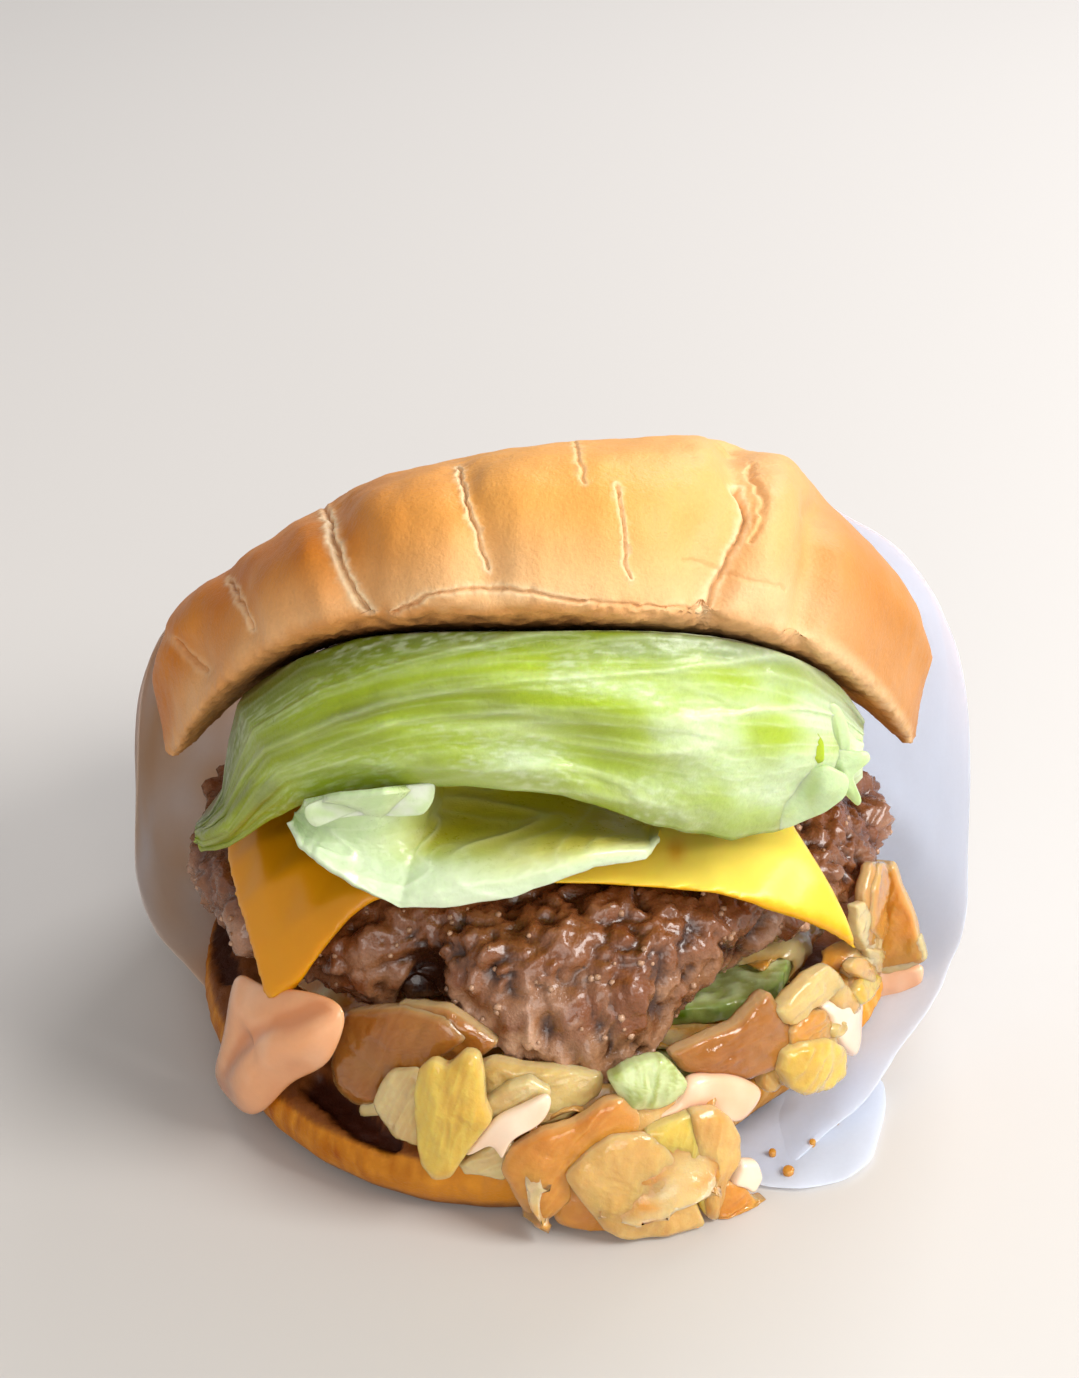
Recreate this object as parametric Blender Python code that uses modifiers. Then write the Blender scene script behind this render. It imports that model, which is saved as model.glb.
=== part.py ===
"""A cheeseburger held in a folded paper sleeve, open like a clam towards -Y.

All sizes below are in millimetres. +X is the eater's right, +Y is the closed back of the sleeve and
+Z is up. The sleeve's flat underside lies on z = 0.
"""

import math

import bmesh
import bpy
from mathutils import Euler, Vector, noise

MM = 0.001
GAP = 0.35

# The whole group is moved by this much, so that the origin is under the middle of its box.
SHIFT_X = -0.02
SHIFT_Y = -1.24

# Bottom bun: a flat cut disc whose right front side is pressed in by the sleeve.
HEEL_RADIUS = 50.5
HEEL_THICK = 11.5
HEEL_PRESS = 6.5
HEEL_PRESS_DEG = -45.0
HEEL_PRESS_WIDTH_DEG = 26.0
HEEL_LIFT = 0.9
HEEL_SAG = 1.2
HEEL_SAG_WIDTH = 26.0
HEEL_WOBBLE = 0.6
HEEL_LUMP = 2.2
HEEL_LUMP_DEG = -122.0
HEEL_LUMP_WIDTH_DEG = 24.0

# Top bun: a low dome that slopes down to the back and is bent down over the filling at both sides.
CROWN_RADIUS = 51.0
CROWN_DOME = 17.3
CROWN_LIP = 5.0
CROWN_CENTRE_Y = 2.0
CROWN_DEPTH_SHARE = 0.93
CROWN_MIDDLE_Z = 66.3
CROWN_SLOPE = 0.49
CROWN_LEAN = 0.35
CROWN_BEND = 19.0
CROWN_BEND_AT = 47.0
CROWN_BEND_POWER = 3.4
CROWN_BEND_POWER_LEFT = 3.8
CROWN_LEFT_REACH = 1.8
CROWN_SIDE_POWER = 0.5
CROWN_TOP_POWER = 0.62

# The top bun's two ends bulge out over the rim: how far, share at the rim, where from and to.
CROWN_CHEEK = 4.0
CROWN_CHEEK_RIM = -0.1
CROWN_CHEEK_LEFT = (39.0, 46.0)
CROWN_CHEEK_RIGHT = (34.0, 44.0)

# Swells of the top bun's dome: x, width, height.
CROWN_SWELLS = ((20.0, 16.0, 1.2), (-22.0, 16.0, -2.6), (-34.0, 9.0, -3.2), (32.0, 9.0, 3.8))

# Creases of the top bun's side: x at the rim, x at the top, width, depth.
CROWN_CREASES = (
    (18.5, 25.5, 3.2, 3.4),
    (30.0, 36.0, 2.8, 2.2),
    (-21.0, -30.0, 3.0, 2.6),
    (-7.0, -11.5, 2.4, 1.8),
    (-42.0, -41.0, 2.8, 1.8),
)

# Beef patty.
PATTY_RADIUS = 47.0
PATTY_CENTRE_Y = 2.0
PATTY_MIDDLE_Z = 29.0
PATTY_SLOPE_X = 0.06
PATTY_SLOPE_Y = -0.06
PATTY_HALF = 9.5
PATTY_BELLY = 4.0
PATTY_CRAG = 1.3
PATTY_CRAG_SIZE = 7.0
PATTY_FRONT_X = 8.0
PATTY_DROOP = 5.5

# Dents and lobes of the patty's edge: direction in degrees, width in degrees, how far out.
PATTY_LUMPS = ((-112.0, 6.0, -3.5), (-44.0, 20.0, -5.5), (-165.0, 18.0, 1.5), (-80.0, 16.0, 2.0))

# Cheese slice.
CHEESE_THICK = 2.6
CHEESE_SIDE = 92.0
CHEESE_DRAWN_IN = 8.0
CHEESE_CENTRE = (0.5, 6.0)
CHEESE_TURN_DEG = 4.4
CHEESE_SHOULDER = 38.0
CHEESE_BEND = 12.0
CHEESE_HANG_DEG = 64.0
CHEESE_RESTS = 1.2
CHEESE_WAVE = 0.5

# Lettuce.
LEAF_THICK = 0.9
LEAF_UNDER_CROWN = 1.7
LEAF_UNDER_LEAF = 6.1
LEAF_STEP = 1.9

# Paper sleeve.
PAPER_THICK = 0.5
PAPER_HALF_WIDTH = 57.3
PAPER_LEAN = 3.0
PAPER_LEAN_Z = 40.0
PAPER_CENTRE_X = 0.1
PAPER_BACK_Y = 57.0
PAPER_SQUARENESS = 2.6
PAPER_PLAN_POWER = 2.3
PAPER_BACK_POWER = 8.0
PAPER_WAIST_Z = 26.0
PAPER_ROOF_GAP = 1.8
PAPER_CORNER_LEFT = 4.0
PAPER_CORNER_RIGHT = 4.4
PAPER_FOLD = 1.3
PAPER_FOLDS = 9
PAPER_RINGS = 13
PAPER_MOUTH_RING = 11


def bump(value, centre, width):
    """A smooth hump of height 1 round a centre."""
    return math.exp(-(((value - centre) / width) ** 2))


def ease(low, high, value):
    """A smooth step from 0 at low to 1 at high."""
    share = min(max((value - low) / (high - low), 0.0), 1.0)
    return share * share * (3.0 - 2.0 * share)


def mix(first, second, share):
    return first + (second - first) * share


def power(value, exponent):
    """A power that keeps the sign."""
    return math.copysign(abs(value) ** exponent, value)


def through(points, value):
    """A smooth value between the points (place, value) of a short list."""
    if value <= points[0][0]:
        return points[0][1]
    for (low, first), (high, second) in zip(points, points[1:]):
        if value <= high:
            return mix(first, second, ease(low, high, value))
    return points[-1][1]


def turn_gap(first_deg, second_deg):
    """The smallest angle between two directions, in degrees."""
    return abs((first_deg - second_deg + 180.0) % 360.0 - 180.0)


def heel_outline(turn_deg):
    pressed = HEEL_PRESS * bump(turn_gap(turn_deg, HEEL_PRESS_DEG), 0.0, HEEL_PRESS_WIDTH_DEG)
    lump = HEEL_LUMP * bump(turn_gap(turn_deg, HEEL_LUMP_DEG), 0.0, HEEL_LUMP_WIDTH_DEG)
    return HEEL_RADIUS - pressed + lump + HEEL_WOBBLE * math.sin(math.radians(3.0 * turn_deg + 40.0))


def heel_top(x, y):
    """Height of the bottom bun's cut face, which sags a little in the middle."""
    return HEEL_THICK + HEEL_LIFT - HEEL_SAG * bump(math.hypot(x, y), 0.0, HEEL_SAG_WIDTH)


def crown_base(x, y):
    """Height of the top bun's underside."""
    side_power = CROWN_BEND_POWER if x > 0.0 else CROWN_BEND_POWER_LEFT
    bend = CROWN_BEND * (abs(x) / CROWN_BEND_AT) ** side_power
    return CROWN_MIDDLE_Z - CROWN_LIP - CROWN_SLOPE * (y - CROWN_CENTRE_Y) - bend


def crown_dome(x, y):
    """Height of the top bun's dome above its widest line, at a place in its own round outline."""
    rim_share = min(1.0, math.hypot(x, y) / CROWN_RADIUS)
    up = math.sqrt(max(0.0, 1.0 - rim_share ** (2.0 / CROWN_SIDE_POWER)))
    height = CROWN_DOME + sum(swell * bump(x, at, width) for at, width, swell in CROWN_SWELLS)
    return height * up ** CROWN_TOP_POWER


def crown_top(x, y):
    """Height of the top bun's outside at a place in the burger."""
    own_y = (y - CROWN_CENTRE_Y - CROWN_LEAN * 0.8 * CROWN_DOME) / CROWN_DEPTH_SHARE
    dome = crown_dome(x, own_y)
    return crown_base(x, CROWN_CENTRE_Y + CROWN_DEPTH_SHARE * own_y) + CROWN_LIP + dome


def patty_outline(turn_deg):
    oval = 2.2 * math.sin(math.radians(2.0 * turn_deg + 95.0))
    lumps = sum(out * bump(turn_gap(turn_deg, at), 0.0, width) for at, width, out in PATTY_LUMPS)
    return PATTY_RADIUS + oval + lumps


def patty_middle(x, y):
    droop = PATTY_DROOP * bump(x, PATTY_FRONT_X, 13.0) * bump(y, -48.0, 14.0)
    return PATTY_MIDDLE_Z + PATTY_SLOPE_X * x + PATTY_SLOPE_Y * y - droop


def patty_half(x, y):
    return PATTY_HALF + PATTY_BELLY * bump(x, PATTY_FRONT_X, 15.0) * bump(y, -44.0, 16.0)


def patty_bottom(x, y):
    return patty_middle(x, y) - patty_half(x, y)


def cheese_place(flat_x, flat_y):
    """Where a point of the flat slice lies: level on the patty, then bent down over its shoulder."""
    away_y = flat_y - PATTY_CENTRE_Y
    reach = math.hypot(flat_x, away_y)
    past = max(0.0, reach - CHEESE_SHOULDER)
    steepest = math.radians(CHEESE_HANG_DEG)
    bent = min(past, CHEESE_BEND)
    curve = CHEESE_BEND / steepest
    straight = past - bent
    out = curve * math.sin(steepest * bent / CHEESE_BEND) + straight * math.cos(steepest)
    hang = curve * (1.0 - math.cos(steepest * bent / CHEESE_BEND)) + straight * math.sin(steepest)
    share = (reach - past + out) / max(reach, 1.0)
    x = flat_x * share
    y = PATTY_CENTRE_Y + away_y * share
    plateau = PATTY_MIDDLE_Z + PATTY_SLOPE_X * x + PATTY_SLOPE_Y * y + PATTY_HALF
    return x, y, plateau + CHEESE_RESTS + CHEESE_THICK / 2.0 - hang


def leaf_ripple(x, y, size):
    return noise.noise(Vector((x / size, y / size, 3.7)))


def collection_named(name):
    collection = bpy.data.collections.new(name)
    bpy.context.scene.collection.children.link(collection)
    return collection


def material_named(name, colour, roughness):
    material = bpy.data.materials.new(name)
    material.use_nodes = True
    shader = material.node_tree.nodes["Principled BSDF"]
    shader.inputs["Base Color"].default_value = (*colour, 1.0)
    shader.inputs["Roughness"].default_value = roughness
    shader.inputs["Metallic"].default_value = 0.0
    return material


def object_from(bm, name, collection, material):
    """A smooth-shaded object from a bmesh given in millimetres."""
    bmesh.ops.scale(bm, vec=(MM, MM, MM), verts=bm.verts)
    mesh = bpy.data.meshes.new(name)
    bm.to_mesh(mesh)
    bm.free()
    mesh.shade_smooth()
    mesh.materials.append(material)
    made = bpy.data.objects.new(name, mesh)
    collection.objects.link(made)
    return made


def warped_sphere(segments, rings, rule):
    """A closed body: a ball whose points are moved by a rule of their unit direction."""
    bm = bmesh.new()
    bmesh.ops.create_uvsphere(bm, u_segments=segments, v_segments=rings, radius=1.0)
    for vert in bm.verts:
        vert.co = Vector(rule(vert.co.copy()))
    bmesh.ops.triangulate(bm, faces=bm.faces)
    return bm


def warped_sheet(columns, rows, rule):
    """An open sheet: a grid whose points are moved by a rule of u and v, each from -1 to 1."""
    bm = bmesh.new()
    bmesh.ops.create_grid(bm, x_segments=columns, y_segments=rows, size=1.0)
    for vert in bm.verts:
        vert.co = Vector(rule(vert.co.x, vert.co.y))
    bmesh.ops.triangulate(bm, faces=bm.faces)
    return bm


def thicken(made, thickness, offset=0.0):
    solid = made.modifiers.new("thickness", "SOLIDIFY")
    solid.thickness = thickness * MM
    solid.offset = offset
    solid.use_even_offset = False


def baked(made):
    """Replaces an object's mesh by its evaluated one and drops its modifiers."""
    graph = bpy.context.evaluated_depsgraph_get()
    mesh = bpy.data.meshes.new_from_object(made.evaluated_get(graph))
    made.modifiers.clear()
    made.data = mesh


def boolean(made, operation, other=None, group=None):
    cut = made.modifiers.new("boolean", "BOOLEAN")
    cut.operation = operation
    cut.solver = "MANIFOLD"
    if group:
        cut.operand_type = "COLLECTION"
        cut.collection = group
    else:
        cut.object = other
    baked(made)


def keep_largest(made):
    """Drops the loose scraps that a cut leaves."""
    bm = bmesh.new()
    bm.from_mesh(made.data)
    left = set(bm.verts)
    bodies = []
    while left:
        body = set()
        todo = [left.pop()]
        while todo:
            vert = todo.pop()
            body.add(vert)
            for edge in vert.link_edges:
                other = edge.other_vert(vert)
                if other in left:
                    left.discard(other)
                    todo.append(other)
        bodies.append(body)
    biggest = max(bodies, key=len)
    scraps = [vert for body in bodies if body is not biggest for vert in body]
    bmesh.ops.delete(bm, geom=scraps, context="VERTS")
    bm.to_mesh(made.data)
    bm.free()


def clear_of(made, neighbour, cutters, gap=GAP):
    """Cuts a body back so that it stays a gap away from a neighbour."""
    graph = bpy.context.evaluated_depsgraph_get()
    mesh = bpy.data.meshes.new_from_object(neighbour.evaluated_get(graph))
    normals = [vert.normal.copy() for vert in mesh.vertices]
    for vert, normal in zip(mesh.vertices, normals):
        vert.co += normal * gap * MM
    cutter = bpy.data.objects.new("clearance", mesh)
    cutters.objects.link(cutter)
    cutter.hide_render = True
    cutter.display_type = "WIRE"
    bpy.context.view_layer.update()
    boolean(made, "DIFFERENCE", other=cutter)
    keep_largest(made)
    bpy.data.objects.remove(cutter)


def heel_rule(unit):
    turn = math.degrees(math.atan2(unit.y, unit.x))
    flat = math.hypot(unit.x, unit.y)
    radius = heel_outline(turn) * flat ** 0.55
    x = radius * math.cos(math.radians(turn))
    y = radius * math.sin(math.radians(turn))
    low = mix(0.0, HEEL_LIFT, ease(-44.0, -34.0, y + 0.35 * abs(x)))
    middle = mix(low, heel_top(x, y), 0.5)
    half = (heel_top(x, y) - low) / 2.0
    z = middle + half * power(unit.z, 0.5)
    if unit.z < -0.25:
        z = low + 0.25 * ease(-0.5, -0.25, unit.z)
    return x, y, z


def make_heel(collection, material):
    bm = warped_sphere(40, 14, heel_rule)
    return object_from(bm, "heel", collection, material)


def crown_relief(x, height):
    """How far the creases pull the top bun's side in, at a height from 0 at the rim to 1."""
    pull = 0.0
    for rim_x, top_x, width, depth in CROWN_CREASES:
        pull += depth * bump(x, mix(rim_x, top_x, height), width)
    return pull


def crown_cheek(x, y, height):
    """How far an end of the top bun bulges out, at a height from 0 at the rim to 1."""
    start, full = CROWN_CHEEK_RIGHT if x > 0.0 else CROWN_CHEEK_LEFT
    share = mix(CROWN_CHEEK_RIM, 1.0, ease(0.0, 0.4, height)) * ease(20.0, 0.0, y)
    return math.copysign(CROWN_CHEEK * share * ease(start, full, abs(x)), x)


def crown_rule(unit):
    turn = math.atan2(unit.y, unit.x)
    turn -= 0.35 * math.cos(turn)
    polar = math.acos(max(-1.0, min(1.0, unit.z)))
    up = max(0.0, math.cos(polar))
    down = max(0.0, -math.cos(polar))
    side = math.sin(polar)
    radius = CROWN_RADIUS * side ** CROWN_SIDE_POWER
    x = radius * math.cos(turn)
    y = radius * math.sin(turn)
    local_z = crown_dome(x, y) if up > 0.0 else -CROWN_LIP * down ** 0.45
    front = ease(-8.0, -30.0, y)
    pull = crown_relief(x, up) * front * ease(0.02, 0.25, side) * ease(-0.2, 0.15, unit.z)
    share = max(0.0, 1.0 - pull / max(radius, 1.0))
    x *= share * (1.0 + CROWN_LEFT_REACH / CROWN_RADIUS * ease(0.0, -40.0, x))
    y *= share
    cheek = crown_cheek(x, y, up)
    fold = 1.8 * ease(21.0, 27.0, x) * up
    y_flat = CROWN_CENTRE_Y + CROWN_DEPTH_SHARE * y
    y_world = y_flat + CROWN_LEAN * local_z
    base = crown_base(x, y_flat) + CROWN_LIP
    return x + cheek, y_world, base + local_z - fold


def make_crown(collection, material):
    bm = warped_sphere(56, 18, crown_rule)
    return object_from(bm, "crown", collection, material)


def patty_rule(unit):
    turn = math.atan2(unit.y, unit.x)
    flat = math.hypot(unit.x, unit.y)
    radius = patty_outline(math.degrees(turn)) * flat ** 0.7
    x = radius * math.cos(turn)
    y = PATTY_CENTRE_Y + radius * math.sin(turn)
    z = patty_middle(x, y) + patty_half(x, y) * power(unit.z, 0.7)
    crag = PATTY_CRAG * noise.noise(Vector((x, y, z)) / PATTY_CRAG_SIZE)
    crag += 0.5 * PATTY_CRAG * noise.noise(Vector((x, y, z)) / (0.5 * PATTY_CRAG_SIZE))
    outward = Vector((unit.x, unit.y, unit.z))
    point = Vector((x, y, z)) + outward * crag * ease(0.1, 0.6, flat)
    return point


def make_patty(collection, material):
    bm = warped_sphere(48, 16, patty_rule)
    return object_from(bm, "patty", collection, material)


def cheese_rule(u, v):
    """The square slice: u runs along its front edge and v from front to back."""
    turn = math.radians(CHEESE_TURN_DEG)
    half = CHEESE_SIDE / 2.0
    flat_x = CHEESE_CENTRE[0] + half * (u * math.cos(turn) - v * math.sin(turn))
    flat_y = CHEESE_CENTRE[1] + half * (u * math.sin(turn) + v * math.cos(turn))
    flat_x -= CHEESE_DRAWN_IN * ease(0.3, 1.0, u) * ease(-1.0, -0.45, v)
    x, y, z = cheese_place(flat_x, flat_y)
    wave = CHEESE_WAVE * math.sin(2.6 * u + 1.5 * v)
    return x, y, z + wave * ease(0.6, 1.0, abs(v))


def make_cheese(collection, material):
    made = object_from(warped_sheet(16, 12, cheese_rule), "cheese", collection, material)
    thicken(made, CHEESE_THICK)
    baked(made)
    return made


# Height of the green leaf's lower front edge along x.
UPPER_LOW_Z = (
    (-47.5, 33.5),
    (-42.0, 43.0),
    (-36.0, 49.5),
    (-30.0, 53.5),
    (-12.0, 59.5),
    (4.0, 60.5),
    (24.0, 54.0),
    (43.0, 50.5),
)
UPPER_REACH_X = (-47.0, 43.0)
UPPER_FRONT_Y = -43.0
UPPER_SIDE_Y = 27.0
UPPER_BACK_Y = 28.0
UPPER_BULGE = 4.5
UPPER_STEP_BACK = 1.5
UPPER_END_SHIFT = 5.0


def upper_leaf_front(u, rise):
    """How far the green leaf's front band bulges towards -Y, from 0 at its lower edge."""
    bulge = UPPER_BULGE * math.sin(math.pi * rise * 0.85) * (1.0 - 0.5 * abs(u) ** 3)
    return UPPER_STEP_BACK * rise - bulge


def upper_leaf_rule(u, v):
    """The green leaf: from its lower front edge up over a bulge, then back under the top bun."""
    x = mix(*UPPER_REACH_X, (u + 1.0) / 2.0)
    along = (v + 1.0) / 2.0
    rise = min(1.0, 2.0 * along)
    back = max(0.0, 2.0 * along - 1.0)
    front_y = UPPER_FRONT_Y + UPPER_SIDE_Y * abs(x / 46.0) ** 2.3
    low_z = through(UPPER_LOW_Z, x)
    x += UPPER_END_SHIFT * rise * ease(0.75, 1.0, -u)
    top_z = crown_base(x, front_y + 3.0) - LEAF_UNDER_CROWN
    y = mix(front_y + upper_leaf_front(u, rise), UPPER_BACK_Y - 12.0 * abs(u), back)
    x *= 1.0 - 0.12 * back
    if back > 0.0:
        z = min(top_z, crown_base(x, y) - LEAF_UNDER_CROWN) - 1.5 * math.sin(math.pi * back)
    else:
        z = mix(low_z, top_z, math.sin(rise * math.pi / 2.0) ** 0.85)
    z += 0.5 * leaf_ripple(x, 60.0 * along, 9.0)
    y += 1.1 * leaf_ripple(x + 30.0, 50.0 * along, 8.0) * (1.0 - ease(0.5, 0.7, along))
    return x, y, z


LOWER_REACH_X = (-33.0, 17.0)
LOWER_LIP = (-46.5, 46.5)
LOWER_LIP_BACK = 9.5
LOWER_LIP_UP = 5.5
LOWER_SCOOP = 9.0
LOWER_BACK_Y = 8.0


def lower_leaf_rule(u, v):
    """The pale inner leaf: a scoop whose lip hangs out over the cheese."""
    x = mix(*LOWER_REACH_X, (u + 1.0) / 2.0)
    along = (v + 1.0) / 2.0
    lip_y = LOWER_LIP[0] + LOWER_LIP_BACK * abs(u) ** 2.2
    lip_z = LOWER_LIP[1] + LOWER_LIP_UP * abs(u) ** 2.0
    y = mix(lip_y, LOWER_BACK_Y, along)
    dip = 1.9 * bump(along, 0.2, 0.14) * (1.0 - abs(u))
    scoop = LOWER_SCOOP * ease(0.15, 1.1, along) - dip
    z = lip_z + scoop - 2.0 * along * abs(u) + 0.4 * leaf_ripple(x, y, 8.0)
    x = x * (1.0 - 0.15 * along) - 2.0 * along
    under_crown = crown_base(x, y) - LEAF_UNDER_LEAF
    under_leaf = through(UPPER_LOW_Z, x) - LEAF_STEP
    return x, y, min(z, under_crown, under_leaf)


def make_leaves(collection, green, pale):
    upper = object_from(warped_sheet(30, 10, upper_leaf_rule), "lettuce_upper", collection, green)
    lower = object_from(warped_sheet(20, 8, lower_leaf_rule), "lettuce_lower", collection, pale)
    for leaf in (upper, lower):
        thicken(leaf, LEAF_THICK)
        baked(leaf)
    return upper, lower


ONION_CORE_RADIUS = 40.5
ONION_CORE_GAP = 0.6
ONION_CURL = 0.12


def onion_core_rule(unit):
    """The heap's hidden middle, between the bottom bun and the patty."""
    turn = math.atan2(unit.y, unit.x)
    flat = math.hypot(unit.x, unit.y)
    radius = ONION_CORE_RADIUS * flat ** 0.6
    x = radius * math.cos(turn)
    y = radius * math.sin(turn)
    low = heel_top(x, y) + ONION_CORE_GAP
    high = patty_bottom(x, y) - ONION_CORE_GAP + 3.0 * ease(24.0, 40.0, x) * ease(-8.0, -26.0, y)
    return x, y, mix(low, high, 0.5) + (high - low) / 2.0 * power(unit.z, 0.6)


# Onion pieces that show: x, y, z of the middle, length, width, thickness, turn, nod and roll in degrees.
ONION_PIECES = (
    (-22.5, -37.0, 16.5, 15.0, 9.0, 3.5, 10.0, 50.0, 0.0),
    (-14.5, -39.0, 17.0, 13.0, 8.0, 3.5, -12.0, 60.0, 8.0),
    (-12.0, -46.0, 13.0, 9.5, 18.0, 3.6, 12.0, 58.0, 6.0),
    (-5.5, -46.0, 17.2, 13.0, 9.0, 3.6, -15.0, 50.0, 12.0),
    (2.0, -47.0, 17.8, 13.0, 9.0, 3.8, 8.0, 48.0, 0.0),
    (-1.5, -50.5, 9.0, 9.0, 15.0, 3.4, 15.0, 63.0, 16.0),
    (11.0, -52.0, 7.6, 17.0, 14.5, 3.4, -6.0, 64.0, 8.0),
    (9.5, -48.0, 16.8, 14.0, 10.0, 3.6, 12.0, 48.0, 0.0),
    (21.0, -49.5, 8.5, 7.0, 14.0, 5.5, 10.0, 62.0, 20.0),
    (25.8, -45.5, 4.5, 8.0, 9.0, 4.5, -20.0, 55.0, 0.0),
    (18.0, -46.0, 16.0, 14.0, 9.0, 4.4, 14.0, 45.0, 0.0),
    (23.5, -37.5, 16.5, 13.0, 7.0, 4.0, -10.0, 40.0, 0.0),
    (31.0, -35.5, 16.0, 12.0, 9.0, 4.2, 35.0, 45.0, 10.0),
    (36.5, -30.0, 10.5, 9.5, 12.0, 4.0, 40.0, 58.0, 0.0),
    (35.5, -29.5, 20.5, 16.0, 7.0, 4.4, 38.0, 40.0, 0.0),
    (41.0, -21.5, 19.5, 12.0, 10.0, 4.6, 58.0, 45.0, 0.0),
    (46.0, -12.5, 20.0, 13.0, 12.0, 3.6, 72.0, 70.0, 0.0),
)


def placed(local, centre, turn, nod, roll):
    """A point of a small piece, rolled about Y, nodded about X, turned about Z and moved to its place."""
    local.rotate(Euler((0.0, math.radians(roll), 0.0)))
    local.rotate(Euler((math.radians(nod), 0.0, 0.0)))
    local.rotate(Euler((0.0, 0.0, math.radians(turn))))
    return local + Vector(centre)


def onion_piece(bm, place):
    """One chopped piece: a bent flake with few sides, thinner at its ends."""
    *centre, length, width, thick, turn, nod, roll = place
    made = bmesh.ops.create_uvsphere(bm, u_segments=8, v_segments=5, radius=1.0)
    for vert in made["verts"]:
        across = power(vert.co.x, 0.6)
        along = power(vert.co.y, 0.6)
        out = power(vert.co.z, 0.8) * thick / 2.0 - ONION_CURL * width * along * along
        local = Vector((across * length / 2.0, along * width / 2.0, out))
        vert.co = placed(local, centre, turn, nod, roll)


def make_onions(collection, material):
    core = object_from(warped_sphere(28, 8, onion_core_rule), "onions", collection, material)
    pieces = collection_named("onion_pieces")
    for index, place in enumerate(ONION_PIECES):
        bm = bmesh.new()
        onion_piece(bm, place)
        object_from(bm, "piece_%02d" % index, pieces, material)
    bpy.context.view_layer.update()
    boolean(core, "UNION", group=pieces)
    for made in list(pieces.objects):
        bpy.data.objects.remove(made)
    bpy.data.collections.remove(pieces)
    keep_largest(core)
    return core


# Pickle slices: name, x, y, z of the middle, radius, thickness, nod and roll in degrees.
PICKLES = (
    ("pickle_right", 20.0, -18.0, 17.6, 14.0, 2.8, -6.0, -4.0),
    ("pickle_front", 12.0, -35.5, 14.2, 9.5, 2.6, 0.0, 0.0),
)


def make_pickle(place, collection, material):
    name, *centre, radius, thick, nod, roll = place
    bm = bmesh.new()
    bmesh.ops.create_cone(bm, cap_ends=True, segments=24, radius1=radius, radius2=radius, depth=thick)
    for vert in bm.verts:
        turn = math.atan2(vert.co.y, vert.co.x)
        vert.co.x *= 1.0 + 0.03 * math.sin(5.0 * turn)
        vert.co = placed(vert.co.copy(), centre, 0.0, nod, roll)
    return object_from(bm, name, collection, material)


# Sauce: its way down from between the layers to its lowest drips, as share and height.
SAUCE_FALL = ((0.0, 17.5), (0.35, 17.0), (0.62, 12.0), (1.0, 4.5))
SAUCE_AT_DEG = -136.0
SAUCE_HALF_DEG = 18.5
SAUCE_RADIUS = (37.0, 53.2)
SAUCE_HALF = (4.2, 2.2)
SAUCE_DRIP = 3.0


def sauce_rule(unit):
    """A blob that fills the left front gap and runs down over the bottom bun's edge."""
    across = unit.x
    down = (1.0 - unit.y) / 2.0
    spread = SAUCE_HALF_DEG * across * (1.0 - 0.25 * down)
    turn = math.radians(SAUCE_AT_DEG - 2.0 * down + spread)
    drips = SAUCE_DRIP * math.cos(3.0 * math.pi * across) * ease(0.5, 1.0, down)
    radius = mix(*SAUCE_RADIUS, ease(0.0, 0.62, down))
    z = through(SAUCE_FALL, down) - drips
    half = mix(*SAUCE_HALF, ease(0.35, 0.8, down))
    radius += half * unit.z * ease(0.3, 0.62, down)
    z += half * unit.z * (1.0 - 0.75 * ease(0.3, 0.62, down))
    return radius * math.cos(turn), radius * math.sin(turn), z


def make_sauce(collection, material):
    return object_from(warped_sphere(22, 12, sauce_rule), "sauce", collection, material)


# The sleeve's mouth: how far back it starts (y), at each turn round its section from the bottom.
PAPER_MOUTH = (
    (0.0, -40.0),
    (23.0, -43.5),
    (36.0, -33.5),
    (52.0, -21.0),
    (68.0, -10.0),
    (90.0, -2.0),
    (115.0, 5.0),
    (140.0, 10.0),
    (165.0, 26.0),
    (180.0, 28.0),
    (205.0, 27.0),
    (228.0, 20.0),
    (248.0, 8.0),
    (270.0, 0.0),
    (300.0, -4.0),
    (325.0, -14.0),
    (360.0, -40.0),
)
PAPER_ROOF_SPAN = (-40.0, 38.0)
PAPER_CLOSES_Y = 36.0
PAPER_BACK_Z = 44.0


def paper_roof(x, y):
    """Height of the sleeve over the top bun, which it follows down to the back."""
    inner_x = min(max(x, PAPER_ROOF_SPAN[0]), PAPER_ROOF_SPAN[1])
    roof = crown_top(inner_x, min(y, PAPER_CLOSES_Y + 2.0)) + PAPER_ROOF_GAP
    return mix(roof, PAPER_BACK_Z, ease(PAPER_CLOSES_Y, PAPER_BACK_Y, y))


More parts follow.
